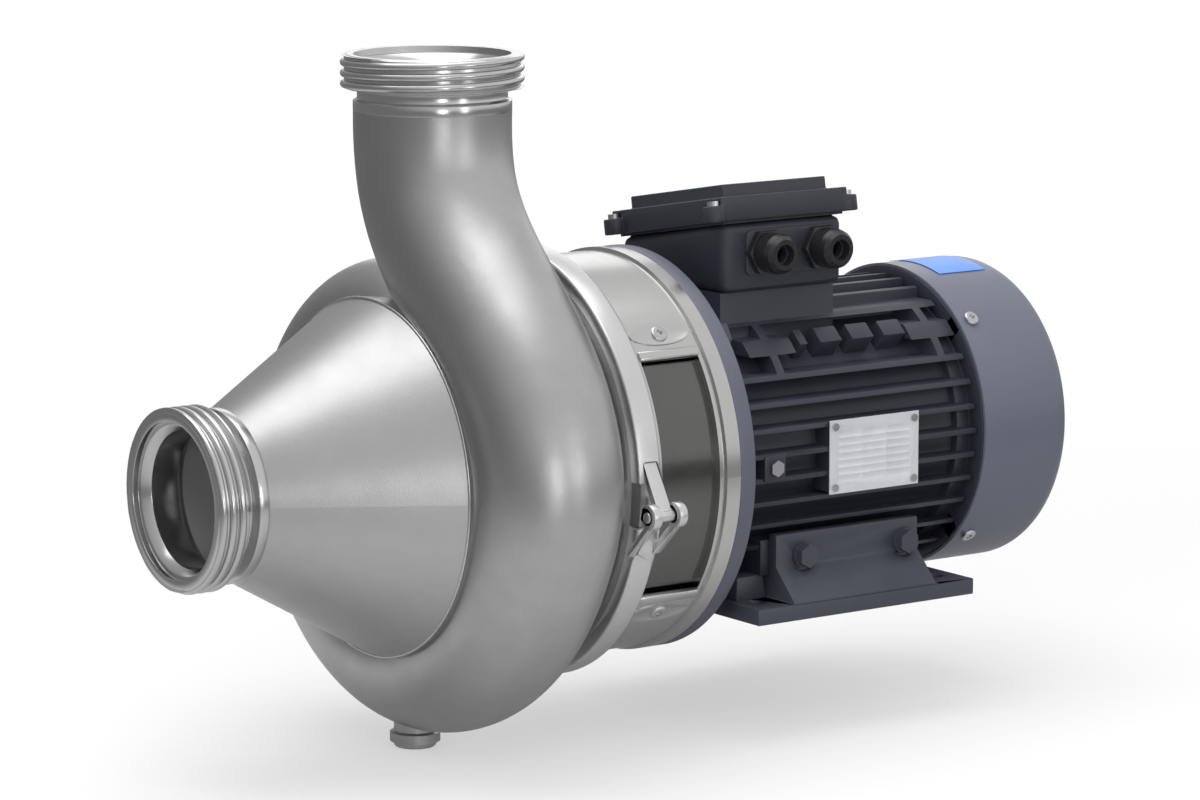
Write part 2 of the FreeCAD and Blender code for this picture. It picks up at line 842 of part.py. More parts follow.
def band_arc(start, end):
    """The V-shaped band over both clamp flanges, from one angle round to another."""
    size = {name: number(name) for name in SIZES}
    slope = (size["flange_root_t"] - size["flange_tip_t"]) / (size["flange_r"] - size["flange_root_r"])
    roof = size["flange_r"] + size["band_gap"]
    mouth = size["flange_tip_t"] + slope * (size["flange_r"] - size["band_leg_r"]) + size["band_gap"]
    width = size["band_half_width"]
    half = [
        (size["band_r"] - 1, width), (size["band_leg_r"], width),
        (size["band_leg_r"], mouth), (roof, size["flange_tip_t"] + size["band_gap"]),
    ]
    outline = [(size["band_r"], width - 1)] + half + [(radius, -y) for radius, y in half[::-1]]
    outline.append((size["band_r"], 1 - width))
    corners = [V(radius, size["parting_y"] + y, 0) for radius, y in outline]
    face = Part.Face(Part.makePolygon(corners + corners[:1]))
    face.rotate(V(), V(0, -1, 0), start)
    return face.revolve(V(), V(0, -1, 0), end - start)


def strip(start, end, middle_y, width, thickness):
    """A flat bar between two points of a plane square to the shaft."""
    along = end - start
    bar = Part.makeBox(along.Length, width, thickness, V(0, -width / 2, -thickness / 2))
    turn = FreeCAD.Rotation(V(0, -1, 0), math.degrees(math.atan2(along.z, along.x)))
    bar.Placement = FreeCAD.Placement(V(start.x, middle_y, start.z), turn)
    return bar


def closure_lug(side):
    """The lug at a band half's closing end: side is 1 above the joint and -1 below it."""
    size = {name: number(name) for name in SIZES}
    near = -(size["flange_r"] + size["band_gap"])
    far = -(size["band_r"] + size["closure_lug_reach"])
    low = size["closure_lug_gap"] / 2
    width = size["band_half_width"] * 2
    bottom = low if side > 0 else -low - size["closure_lug_t"]
    corner = V(far, size["parting_y"] - width / 2, bottom)
    lug = Part.makeBox(near - far, width, size["closure_lug_t"], corner)
    hole_r = size["closure_screw_r"] + size["band_gap"]
    hole = Part.makeCylinder(hole_r, size["closure_lug_t"] + 2, V(closure_x(), size["parting_y"], bottom - 1))
    return lug.cut(hole)


def closure_x():
    """Where the closing screw stands, outside the band."""
    return -(number("band_r") + number("closure_lug_reach") * 0.5)


def hinge_centre(y=0.0):
    return polar(number("hinge_r"), number("hinge_angle"), number("parting_y") + y)


def pin_rod(radius, length):
    return Part.makeCylinder(radius, length, hinge_centre(-length / 2), V(0, 1, 0))


def upper_band_shape():
    """The swinging half, with the tongue and cross pin that the hooks hold."""
    closing_angle = 180 - math.degrees(math.asin(number("closure_lug_gap") / 2 / number("band_leg_r")))
    shape = band_arc(number("upper_start_angle"), closing_angle).fuse(closure_lug(1))
    middle_r = number("flange_r") + number("band_gap") + number("tongue_t") / 2
    start = polar(middle_r, number("upper_start_angle") + 5)
    tongue = strip(start, hinge_centre() - V(0, number("parting_y"), 0), number("parting_y"),
                   number("tongue_width"), number("tongue_t"))
    tongue = tongue.cut(disc(number("flange_r") + number("band_gap"), number("parting_y") - 20, number("parting_y") + 20))
    return shape.fuse(tongue).fuse(pin_rod(number("hinge_pin_r"), number("hinge_pin_length"))).removeSplitter()


def lower_band_shape():
    """The fixed half, with a forked end whose two hooks curl round the cross pin."""
    closing_angle = 180 + math.degrees(math.asin(number("closure_lug_gap") / 2 / number("band_leg_r")))
    fork_angle = 360 - number("lower_end_angle")
    shape = band_arc(closing_angle, fork_angle).fuse(closure_lug(-1))
    hole_r = number("hinge_pin_r") + number("hinge_gap")
    width = number("hook_width")
    root_r = number("band_r") - number("hook_wall") / 2
    for side in (-1, 1):
        middle = number("parting_y") + side * number("hook_offset")
        centre = hinge_centre(side * number("hook_offset") - width / 2)
        hook = Part.makeCylinder(hole_r + number("hook_wall"), width, centre, V(0, 1, 0))
        arm_end = hinge_centre() - V(0, number("parting_y"), 0) + V(hole_r + number("hook_wall") / 2, 0, 0)
        arm = strip(polar(root_r, fork_angle - 7), arm_end, middle, width, number("hook_wall"))
        hook = hook.fuse(arm)
        mouth = Part.makeBox(hole_r * 4, width + 2, hole_r * 1.4, centre + V(-hole_r * 4, -1, -hole_r * 0.2))
        hook = hook.cut(mouth)
        shape = shape.fuse(hook)
    flange_room = disc(number("flange_r") + number("band_gap"), number("parting_y") - 20, number("parting_y") + 20)
    pin_room = pin_rod(hole_r, number("hinge_pin_length") + 2)
    legs = band_arc(closing_angle, fork_angle)
    return shape.cut(pin_room).cut(flange_room).fuse(legs).removeSplitter()


shaped("clamp_band_upper", upper_band_shape())
shaped("clamp_band_lower", lower_band_shape())


def closure_screw_shape():
    """The closing screw: full thread in the upper lug, and a reduced end through the lower one."""
    size = {name: number(name) for name in SIZES}
    top = size["closure_lug_gap"] / 2 + size["closure_lug_t"]
    x = closure_x()
    y = size["parting_y"]
    head = Part.makeCylinder(size["closure_screw_r"] * 1.7, size["closure_screw_r"] * 1.6, V(x, y, top))
    shank = Part.makeCylinder(size["closure_screw_r"], top - size["closure_lug_gap"] / 2, V(x, y, top), V(0, 0, -1))
    end = Part.makeCylinder(size["closure_core_r"], size["closure_screw_length"], V(x, y, top), V(0, 0, -1))
    socket = Part.makeCylinder(size["closure_screw_r"] * 0.8, size["closure_screw_r"], V(x, y, top + size["closure_screw_r"]))
    return head.fuse(shank).fuse(end).cut(socket).removeSplitter()


shaped("closure_screw", closure_screw_shape())


def closure_nut_shape():
    """A wing nut under the lower lug."""
    size = {name: number(name) for name in SIZES}
    x = closure_x()
    top = -(size["closure_lug_gap"] / 2 + size["closure_lug_t"])
    boss = Part.makeCone(size["closure_screw_r"] * 2, size["closure_screw_r"] * 1.5, size["closure_nut_height"],
                         V(x, size["parting_y"], top), V(0, 0, -1))
    wing = Part.makeBox(size["closure_screw_r"], size["closure_wing_span"], size["closure_nut_height"] * 1.6)
    wing.translate(V(x - size["closure_screw_r"] / 2, size["parting_y"] - size["closure_wing_span"] / 2,
                     top - size["closure_nut_height"] * 2))
    bore_r = size["closure_core_r"] + size["fit_gap"]
    bore = Part.makeCylinder(bore_r, size["closure_screw_length"], V(x, size["parting_y"], top + 1), V(0, 0, -1))
    return boss.fuse(wing).cut(bore).removeSplitter()


shaped("closure_nut", closure_nut_shape())

# Lantern and window guards

drum_r = "(lantern_r - lantern_wall)"
flange_back = "(flange_face_y - lantern_rear_t)"
lantern = turned("lantern", [
    ("cover_rim_r + fit_gap", "parting_y"),
    ("flange_r", "parting_y"),
    ("flange_r", "parting_y + flange_tip_t"),
    ("flange_root_r", "parting_y + flange_root_t"),
    ("flange_root_r", "parting_y + band_half_width + band_gap"),
    ("lantern_r", "parting_y + band_half_width + 2"),
    ("lantern_r", flange_back + " - 1"),
    ("motor_flange_r", flange_back),
    ("motor_flange_r", "flange_face_y"),
    ("spigot_r + fit_gap", "flange_face_y"),
    ("spigot_r + fit_gap", flange_back),
    (drum_r, flange_back),
    (drum_r, cover_rear + " + fit_gap + lantern_front_t"),
    ("lantern_front_bore_r", cover_rear + " + fit_gap + lantern_front_t"),
    ("lantern_front_bore_r", cover_rear + " + fit_gap"),
    ("cover_rim_r + fit_gap", cover_rear + " + fit_gap"),
])
window_middle = "((parting_y + window_front_gap + flange_face_y - window_rear_gap) / 2)"
pad(lantern, "lantern_r * 3", kind="Pocket", plane="YZ_Plane", outlines=[rectangle(
    "parting_y + window_front_gap", "-window_half_height", "flange_face_y - window_rear_gap", "window_half_height",
)])
hole = pad(lantern, "lantern_rear_t * 2", kind="Pocket", plane="XZ_Plane", offset="-flange_face_y",
           circles=[("flange_pcd_r / sqrt(2)", "flange_pcd_r / sqrt(2)", "flange_bolt_r + fit_gap")])
round_pattern(lantern, hole, 4)


def guard_screw_spots():
    """The four guard screws: each side of each window, with the direction that it points out in."""
    for facing in (0, 180):
        for side in (-1, 1):
            yield facing + side * number("guard_screw_angle")


def spot_at(radius, degrees, y):
    """A place on the drum whose local +Z points outwards."""
    turn = FreeCAD.Rotation(V(0, 0, 1), polar(1, degrees))
    return FreeCAD.Placement(polar(radius, degrees, y), turn)


def drilled(shape, radius, start_r):
    """The shape with the guard screws' holes, from a distance off the shaft outwards."""
    for degrees in guard_screw_spots():
        tool = Part.makeCylinder(radius, number("lantern_r"))
        tool.Placement = spot_at(start_r, degrees, number(window_middle))
        shape = shape.cut(tool)
    return shape


def lantern_shape(plain):
    """The drum with the guard screws' holes and the shallow seats that their heads lie in."""
    seat_r = number("lantern_r") - number("guard_seat_depth")
    shape = drilled(plain, number("guard_screw_r") + number("fit_gap"), number(drum_r) - number("lantern_wall"))
    return drilled(shape, number("guard_seat_r"), seat_r)


def guard_shape(facing):
    """A curved sheet inside the drum that closes one window."""
    size = {name: number(name) for name in SIZES}
    outer_r = size["lantern_r"] - size["lantern_wall"] - size["fit_gap"]
    front = size["parting_y"] + size["window_front_gap"] - size["guard_lap"]
    rear = size["flange_face_y"] - size["window_rear_gap"] + size["guard_lap"]
    corners = [V(radius, y, 0) for radius, y in (
        (outer_r - size["guard_t"], front), (outer_r, front), (outer_r, rear), (outer_r - size["guard_t"], rear),
    )]
    face = Part.Face(Part.makePolygon(corners + corners[:1]))
    face.rotate(V(), V(0, -1, 0), facing - size["guard_reach_angle"])
    sheet_metal = face.revolve(V(), V(0, -1, 0), 2 * size["guard_reach_angle"])
    return drilled(sheet_metal, size["guard_screw_r"] + size["fit_gap"], outer_r - size["lantern_wall"])


doc.recompute()
pieces.remove(lantern)
lantern_plain = lantern.Shape.copy()
lantern_plain.translate(V(0, 0, -number(SHAFT)))
lantern.Label = "lantern_turned"
shaped("lantern", lantern_shape(lantern_plain))
shaped("window_guard_right", guard_shape(0))
shaped("window_guard_left", guard_shape(180))


def domed_screw(radius, length, head_r, head_t, spot):
    """A socket screw whose domed head stands on the spot and whose shank runs back from it."""
    head = Part.makeCylinder(head_r, head_t)
    head = head.makeFillet(head_t * 0.55, [edge for edge in head.Edges if edge.BoundBox.ZMin > head_t / 2])
    shank = Part.makeCylinder(radius, length, V(0, 0, 0), V(0, 0, -1))
    socket = Part.makeCylinder(head_r * 0.4, head_t, V(0, 0, head_t * 0.5))
    screw = head.fuse(shank).cut(socket).removeSplitter()
    screw.Placement = spot
    return screw


def guard_screws_shape():
    seat_r = number("lantern_r") - number("guard_seat_depth")
    return Part.makeCompound([
        domed_screw(number("guard_screw_r"), number("guard_screw_length"), number("guard_screw_head_r"),
                    number("guard_screw_head_t"), spot_at(seat_r, degrees, number(window_middle)))
        for degrees in guard_screw_spots()
    ])


shaped("guard_screws", guard_screws_shape())

# Motor shields, bearings and shaft

flange_rear = "(flange_face_y + motor_flange_t)"
seat_front = "(drive_bearing_y - bearing_width / 2)"
seat_rear = "(drive_bearing_y + bearing_width / 2)"
shield = turned("motor_flange", [
    ("shaft_seat_r + seal_seat_gap", "flange_face_y - spigot_t"),
    ("spigot_r", "flange_face_y - spigot_t"),
    ("spigot_r", "flange_face_y"),
    ("motor_flange_r - 1", "flange_face_y"),
    ("motor_flange_r", "flange_face_y + 1"),
    ("motor_flange_r", f"{flange_rear} - 1"),
    ("motor_flange_r - 1", flange_rear),
    ("shield_r", flange_rear),
    ("shield_r", "frame_front_y"),
    ("frame_bore_r - fit_gap", "frame_front_y"),
    ("frame_bore_r - fit_gap", "frame_front_y + shield_register"),
    ("frame_bore_r - shield_wall", "frame_front_y + shield_register"),
    ("frame_bore_r - shield_wall", flange_rear),
    ("bearing_outer_r + shield_wall", flange_rear),
    ("bearing_outer_r + shield_wall", seat_rear),
    ("bearing_outer_r + fit_gap", seat_rear),
    ("bearing_outer_r + fit_gap", seat_front),
    ("shaft_seat_r + seal_seat_gap", seat_front),
])
bolt_spot = "flange_pcd_r / sqrt(2)"
hole = pad(shield, "motor_flange_t * 3", kind="Pocket", plane="XZ_Plane", offset="-flange_face_y",
           circles=[(bolt_spot, bolt_spot, "flange_hole_r")])
round_pattern(shield, hole, 4)

bolts = []
for x_side in (-1, 1):
    for z_side in (-1, 1):
        x = f"{x_side} * {bolt_spot}"
        z = f"axis_height + {z_side} * {bolt_spot}"
        head_start = f"{flange_rear} + washer_t"
        shank = rod("flange_bolt_r", "flange_bolt_length", x, f"{head_start} - flange_bolt_length", z, ALONG_Y)
        head = hexagon("flange_bolt_head_af", "flange_bolt_head_t", x, head_start, z, ALONG_Y)
        bolts.append(fuse(shank, head, rod("washer_r", "washer_t", x, flange_rear, z, ALONG_Y)))
group("flange_bolts", bolts)


def ball_bearing(prefix, middle):
    """A deep-groove bearing about a place on the shaft, as outer ring, inner ring and balls."""
    race_r = "((bearing_outer_r + bearing_inner_r) / 2)"
    width = "bearing_width / 2"
    outer = ring(prefix + "_bearing_outer", f"{race_r} + bearing_shoulder", "bearing_outer_r",
                 f"{middle} - {width}", f"{middle} + {width}")
    revolve(outer, kind="Groove", circles=[(race_r, middle, "bearing_ball_r + seal_gap")])
    inner = ring(prefix + "_bearing_inner", "bearing_inner_r", f"{race_r} - bearing_shoulder",
                 f"{middle} - {width}", f"{middle} + {width}")
    revolve(inner, kind="Groove", circles=[(race_r, middle, "bearing_ball_r + seal_gap")])
    balls = []
    count = int(number("bearing_ball_count"))
    for index in range(count):
        angle = 360 * index / count
        ball = doc.addObject("Part::Sphere", "Ball")
        bind(ball, "Radius", "bearing_ball_r")
        place(ball, f"{race_r} * cos({angle})", middle, f"axis_height + {race_r} * sin({angle})")
        balls.append(ball)
    group(prefix + "_bearing_balls", balls)


ball_bearing("drive", "drive_bearing_y")
ball_bearing("rear", "rear_bearing_y")

shaft_end = "(flange_face_y - motor_shaft_length)"
drive_inner = "(drive_bearing_y + bearing_width / 2)"
rear_inner = "(rear_bearing_y - bearing_width / 2)"
shaft = turned("motor_shaft", [
    (0, shaft_end),
    ("motor_shaft_r - 1", shaft_end),
    ("motor_shaft_r", shaft_end + " + 1"),
    ("motor_shaft_r", "flange_face_y"),
    ("shaft_seat_r", "flange_face_y"),
    ("shaft_seat_r", drive_inner),
    ("rotor_seat_r", drive_inner),
    ("rotor_seat_r", rear_inner),
    ("shaft_seat_r", rear_inner),
    ("shaft_seat_r", "rear_bearing_y + bearing_width / 2"),
    ("fan_shaft_r", "rear_bearing_y + bearing_width / 2"),
    ("fan_shaft_r", "fan_y + fan_width"),
    (0, "fan_y + fan_width"),
])
pad(shaft, "shaft_key_width", kind="Pocket", plane="YZ_Plane", outlines=[rectangle(
    key_start, f"{key_top} - shaft_key_height",
    f"{key_middle} + shaft_key_length / 2", "motor_shaft_r * 2",
)])
key = new_body("shaft_key")
pad(key, "shaft_key_width", plane="YZ_Plane", outlines=[rectangle(
    key_start, f"{key_top} - shaft_key_height",
    f"{key_middle} + shaft_key_length / 2", key_top,
)])

ring("rotor_core", "rotor_seat_r", "rotor_r", "-stator_half_length", "stator_half_length")
ring("stator_core", "stator_bore_r", "frame_bore_r", "-stator_half_length", "stator_half_length")
winding_in = "(stator_bore_r + winding_inset)"
winding_out = "(frame_bore_r - winding_inset)"
front_winding = rectangle(winding_in, "-(stator_half_length + winding_overhang)", winding_out, "-stator_half_length")
rear_winding = rectangle(winding_in, "stator_half_length", winding_out, "stator_half_length + winding_overhang")
turned("stator_windings", front_winding, rear_winding)

# Frame


def joined_common(items, envelope):
    item = doc.addObject("Part::Common", "Common")
    item.Base = fuse(*items)
    item.Tool = envelope
    return item


length = "(frame_rear_y - frame_front_y)"
side_rows = [row for row in range(-5, 6) if row != 4]
fins = []
for row in side_rows:
    middle = f"axis_height + fin_offset + {row} * fin_pitch"
    fins.append(block("-fin_r", "fin_r", "frame_front_y", "frame_rear_y",
                      f"{middle} - fin_t / 2", f"{middle} + fin_t / 2"))
for row in (-2, -1, 0, 1, 2):
    middle = f"{row} * fin_pitch"
    fins.append(block(f"{middle} - fin_t / 2", f"{middle} + fin_t / 2", "frame_front_y", "frame_rear_y",
                      "axis_height - fin_r", "axis_height + fin_r"))
for middle in ("rib_front_y", "rib_rear_y"):
    fins.append(block("-fin_r", "fin_r", f"{middle} - rib_t / 2", f"{middle} + rib_t / 2",
                      "axis_height + fin_offset + 3 * fin_pitch", "axis_height + fin_offset + 5 * fin_pitch"))
    fins.append(block("-fin_r", "fin_r", f"{middle} - rib_pad_length", f"{middle} + rib_pad_length",
                      "axis_height + rib_pad_low", "axis_height + rib_pad_high"))
finned = joined_common(fins, rod("fin_r", length, 0, "frame_front_y", SHAFT, ALONG_Y))


def pad_boss(side, middle, half_length):
    """A square boss between two side fins, pointing out from the shaft at the pads' angle."""
    boss = block("0", "fin_r", f"{middle} - {half_length}", f"{middle} + {half_length}", "0", "2 * pad_boss_half")
    angle = number("pad_boss_angle")
    place(boss, "pad_boss_half * sin(pad_boss_angle)", f"{middle} - {half_length}",
          f"axis_height - {side} * pad_boss_half * cos(pad_boss_angle)",
          FreeCAD.Rotation(V(0, 1, 0), -angle if side > 0 else angle - 180))
    return boss


barrel = rod("frame_r", length, 0, "frame_front_y", SHAFT, ALONG_Y)
front_ring = rod("shield_r", "frame_ring_t", 0, "frame_front_y", SHAFT, ALONG_Y)
rear_ring = rod("shield_r", "frame_ring_t", 0, "frame_rear_y - frame_ring_t", SHAFT, ALONG_Y)
solids = [finned, barrel, front_ring, rear_ring]
for side in (-1, 1):
    x1, x2 = sorted((f"{side} * foot_pad_x", f"{side} * foot_pad_root_x"), key=number)
    solids.append(block(x1, x2, "-foot_pad_half_length", "foot_pad_half_length",
                        "axis_height - foot_pad_high", "axis_height - foot_pad_low"))
    solids.append(pad_boss(side, "end_boss_y", "end_boss_half_length"))
    for place_y in range(3):
        solids.append(pad_boss(side, f"(pad_boss_y + {place_y} * pad_boss_pitch)", "pad_boss_half_length"))
saddle_half = "saddle_half_length"
solids.append(block("box_far_x + saddle_inset", "box_near_x - saddle_inset", f"box_y - {saddle_half}",
                    f"box_y + {saddle_half}", SHAFT, "axis_height + box_base_rise"))
solids.append(block("0", "plate_pad_x",
                    "plate_y - plate_length / 2 + plate_lap", "plate_y + plate_length / 2 - plate_lap",
                    "axis_height + plate_rise - plate_height / 2 + plate_lap",
                    "axis_height + plate_rise + plate_height / 2 - plate_lap"))
solids.append(block("0", "earth_boss_x", "earth_y - earth_half", "earth_y + earth_half",
                    "axis_height + earth_rise - earth_half", "axis_height + earth_rise + earth_half"))
bore = rod("frame_bore_r", f"{length} + 2", 0, "frame_front_y - 1", SHAFT, ALONG_Y)
wire_way = rod("wire_way_r", "frame_bore_r + box_base_rise", 0, "box_y", SHAFT)
tapped = []
for x_side in (-1, 1):
    for y_side in (-1, 1):
        start = "foot_pad_x - foot_bolt_depth" if x_side > 0 else "-foot_pad_x - foot_bolt_depth"
        tapped.append(rod("foot_bolt_r + fit_gap", "foot_bolt_depth * 2", start,
                          f"foot_bolt_middle + {y_side} * foot_bolt_y",
                          "axis_height - foot_bolt_drop", ALONG_X))
tapped.append(rod("earth_screw_r + fit_gap", "earth_screw_length", "earth_boss_x - earth_screw_length", "earth_y",
                  "axis_height + earth_rise", ALONG_X))
for y_side in (-1, 1):
    for z_side in (-1, 1):
        tapped.append(rod("rivet_r + fit_gap", "rivet_length", "plate_pad_x - rivet_length",
                          f"plate_y + {y_side} * (plate_length / 2 - rivet_inset)",
                          f"axis_height + plate_rise + {z_side} * (plate_height / 2 - rivet_inset)", ALONG_X))
frame = cut(fuse(*solids), bore, wire_way, *tapped)
keep(frame, "motor_frame")

# Rear shield, fan and cowl

shield_rear = "(frame_rear_y + rear_shield_t)"
rear_seat_front = "(rear_bearing_y - bearing_width / 2)"
rear_seat_rear = "(rear_bearing_y + bearing_width / 2)"
rear_shield = turned("rear_shield", [
    ("bearing_outer_r + fit_gap", rear_seat_front),
    ("bearing_outer_r + shield_wall", rear_seat_front),
    ("bearing_outer_r + shield_wall", "frame_rear_y"),
    ("frame_bore_r - shield_wall", "frame_rear_y"),
    ("frame_bore_r - shield_wall", "frame_rear_y - shield_register"),
    ("frame_bore_r - fit_gap", "frame_rear_y - shield_register"),
    ("frame_bore_r - fit_gap", "frame_rear_y"),
    ("shield_r", "frame_rear_y"),
    ("shield_r", shield_rear),
    ("fan_shaft_r + seal_seat_gap", shield_rear),
    ("fan_shaft_r + seal_seat_gap", rear_seat_rear),
    ("bearing_outer_r + fit_gap", rear_seat_rear),
])
ear_in = "(shield_r - 4)"
ear_out = "sqrt((cowl_r - cowl_wall - fit_gap) ^ 2 - (cowl_ear_width / 2) ^ 2)"
ear = pad(rear_shield, "cowl_ear_width", plane="YZ_Plane", outlines=[rectangle(
    shield_rear + " - 4", ear_in, "cowl_screw_y + cowl_ear_width / 2", ear_out,
)])
round_pattern(rear_shield, ear, 4)
ear_hole = pad(rear_shield, "cowl_screw_length * 2 + 2", kind="Pocket", offset=ear_out,
               circles=[(0, "cowl_screw_y", "cowl_screw_r + fit_gap")])
round_pattern(rear_shield, ear_hole, 4)
rear_shield.Placement = FreeCAD.Placement(V(0, 0, number(SHAFT)), FreeCAD.Rotation(V(0, 1, 0), 45))
bind(rear_shield, "Placement.Base.z", SHAFT)

fan = turned("cooling_fan", [
    ("fan_shaft_r + fit_gap", "fan_y"),
    ("fan_r", "fan_y"),
    ("fan_r", "fan_y + fan_plate_t"),
    ("fan_hub_r", "fan_y + fan_plate_t"),
    ("fan_hub_r", "fan_y + fan_width"),
    ("fan_shaft_r + fit_gap", "fan_y + fan_width"),
])
blade = pad(fan, "fan_blade_t", plane="YZ_Plane", outlines=[rectangle(
    "fan_y + fan_plate_t - 1", "fan_hub_r - 1", "fan_y + fan_width", "fan_r",
)])
round_pattern(fan, blade, "fan_blades")


def cowl_shape():
    """The sheet-metal cowl: a drum with a rounded rear edge and rings of slots in its back."""
    size = {name: number(name) for name in SIZES}
    outer_r, wall = size["cowl_r"], size["cowl_wall"]
    front, rear, corner = size["cowl_front_y"], size["cowl_rear_y"], size["cowl_corner_r"]
    shape = disc(outer_r, front, rear)
    shape = shape.makeFillet(corner, [edge for edge in shape.Edges if edge.BoundBox.YMin > rear - 1e-3])
    hollow = disc(outer_r - wall, front - 1, rear - wall)
    hollow = hollow.makeFillet(corner - wall, [edge for edge in hollow.Edges if edge.BoundBox.YMin > rear - wall - 1e-3])
    shape = shape.cut(hollow)
    slots = []
    radius = size["grille_first_r"]
    while radius + size["grille_slot"] < outer_r - corner:
        slots.append(disc(radius + size["grille_slot"], rear - wall * 3, rear + 1).cut(
            disc(radius, rear - wall * 4, rear + 2)))
        radius += size["grille_slot"] + size["grille_bar"]
    spoke_w = size["grille_spoke"]
    spokes = [Part.makeBox(outer_r * 2, wall * 8, spoke_w, V(-outer_r, rear - wall * 5, -spoke_w / 2)) for _ in range(3)]
    for index, spoke in enumerate(spokes):
        spoke.rotate(V(), V(0, 1, 0), 60 * index)
    grille = Part.makeCompound(slots).cut(Part.makeCompound(spokes))
    shape = shape.cut(grille)
    for index in range(4):
        hole = Part.makeCylinder(size["cowl_screw_r"] + size["fit_gap"], outer_r)
        hole.Placement = spot_at(outer_r / 2, 45 + 90 * index, size["cowl_screw_y"])
        shape = shape.cut(hole)
    return shape


shaped("fan_cowl", cowl_shape())
doc.recompute()
shaped("cowl_screws", Part.makeCompound([
    domed_screw(number("cowl_screw_r"), number("cowl_screw_length"), number("cowl_screw_head_r"),
                number("cowl_screw_head_t"), spot_at(number("cowl_r"), 45 + 90 * index, number("cowl_screw_y")))
    for index in range(4)
]))


def label_shape():
    """A thin plain label that follows the cowl's drum."""
    inner_r = number("cowl_r + label_gap")
    front = number("label_front_y")
    rear = front + number("label_length")
    outer_r = inner_r + number("label_t")
    corners = [V(radius, y, 0) for radius, y in ((inner_r, front), (outer_r, front), (outer_r, rear), (inner_r, rear))]
    face = Part.Face(Part.makePolygon(corners + corners[:1]))
    face.rotate(V(), V(0, -1, 0), number("label_angle") - number("label_spread") / 2)
    return face.revolve(V(), V(0, -1, 0), number("label_spread"))


shaped("cowl_label", label_shape())

# Feet


def foot(label, side):
    """An angled foot: base plate, upright bolted to the frame's pad, a ledge below the pad and a sloped web outside."""
    body = new_body(label, z=0)
    base = rectangle("foot_inner_x", 0, "foot_half_width", "foot_t")
    upright = [
        ("foot_web_x", "foot_t - 1"),
        ("foot_web_x", "foot_t"),
        ("foot_pad_x + foot_upright_t", "foot_web_top"),
        ("foot_pad_x + foot_upright_t", "foot_top"),
        ("foot_pad_x", "foot_top"),
        ("foot_pad_x", "axis_height - foot_pad_high - foot_ledge_gap"),
        ("foot_ledge_x", "axis_height - foot_pad_high - foot_ledge_gap"),
        ("foot_ledge_x", "foot_t - 1"),
    ]
    signed = [[(f"{side} * ({x})", z) for x, z in outline] for outline in (base, upright)]
    pad(body, "foot_length", plane="XZ_Plane", outlines=signed[:1])
    pad(body, "foot_web_length", plane="XZ_Plane", outlines=signed[1:])
    holes = [(f"{side} * foot_hole_x / 2", f"{y_side} * foot_hole_y / 2", "foot_hole_r") for y_side in (-1, 1)]
    pad(body, "foot_t * 3", kind="Pocket", circles=holes)
    bolt_holes = [(f"foot_bolt_middle + {y_side} * foot_bolt_y", "axis_height - foot_bolt_drop", "foot_bolt_r + fit_gap")
                  for y_side in (-1, 1)]
    pad(body, "foot_upright_t * 8", kind="Pocket", plane="YZ_Plane", offset=f"{side} * foot_pad_x", circles=bolt_holes)
    seats = [(y, z, "foot_washer_r + foot_seat_gap") for y, z, radius in bolt_holes]
    pad(body, "foot_web_x", kind="Pocket", plane="YZ_Plane", circles=seats,
        offset=f"{side} * (foot_pad_x + foot_upright_t + foot_web_x / 2)")
    return body


foot("foot_right", 1)
foot("foot_left", -1)
foot_bolts = []
for side in (-1, 1):
    for y_side in (-1, 1):
        z = "axis_height - foot_bolt_drop"
        y = f"foot_bolt_middle + {y_side} * foot_bolt_y"
        face = "(foot_pad_x + foot_upright_t)"
        if side > 0:
            washer_x, head_x, shank_x = face, f"{face} + washer_t", f"{face} + washer_t - foot_bolt_length"
        else:
            washer_x = f"-{face} - washer_t"
            head_x = f"-{face} - washer_t - foot_bolt_head_t"
            shank_x = f"-{face} - washer_t"
        washer = rod("foot_washer_r", "washer_t", washer_x, y, z, ALONG_X)
        head = hexagon("foot_bolt_head_af", "foot_bolt_head_t", head_x, y, z, ALONG_X)
        foot_bolts.append(fuse(head, washer, rod("foot_bolt_r", "foot_bolt_length", shank_x, y, z, ALONG_X)))
group("foot_bolts", foot_bolts)

# Terminal box

box = new_body("terminal_box", y="box_y")
near_top = "(box_lid_rise - gasket_t)"
far_top = "(box_lid_rise - gasket_t - (box_near_x - box_far_x) * tan(box_lid_slope))"
pad(box, "box_half_length * 2", plane="XZ_Plane", outlines=[[
    ("box_far_x", "box_base_rise"), ("box_near_x", "box_base_rise"), ("box_near_x", near_top), ("box_far_x", far_top),
]])
pad(box, "box_half_length * 2 - box_wall * 2", kind="Pocket", plane="XZ_Plane", outlines=[[
    ("box_far_x + box_wall", "box_base_rise + box_wall"), ("box_near_x - box_wall", "box_base_rise + box_wall"),
    ("box_near_x - box_wall", near_top + " + 20"), ("box_far_x + box_wall", near_top + " + 20"),
]])
pad(box, "box_wall * 3", kind="Pocket", offset="box_base_rise", circles=[(0, 0, "wire_way_r")])
gland_holes = [(f"gland_front_y - box_y + {index} * gland_pitch", "gland_rise", "gland_thread_r + fit_gap")
               for index in (0, 1)]
pad(box, "box_wall * 4", kind="Pocket", plane="YZ_Plane", offset="box_near_x", circles=gland_holes)


def lid_body(label):
    """A body whose floor lies on the sloped top of the box, from the box's near edge at the shaft side."""
    body = new_body(label, x="lid_near_x", y="box_y")
    turn = FreeCAD.Rotation(V(0, -1, 0), number("box_lid_slope"))
    body.Placement = FreeCAD.Placement(V(number("lid_near_x"), number("box_y"), number(SHAFT)), turn)
    bind(body, "Placement.Base.x", "lid_near_x")
    bind(body, "Placement.Base.y", "box_y")
    bind(body, "Placement.Base.z", "axis_height + box_lid_rise + (lid_near_x - box_near_x) * tan(box_lid_slope)")
    bind(body, "Placement.Rotation.Angle", "box_lid_slope")
    return body


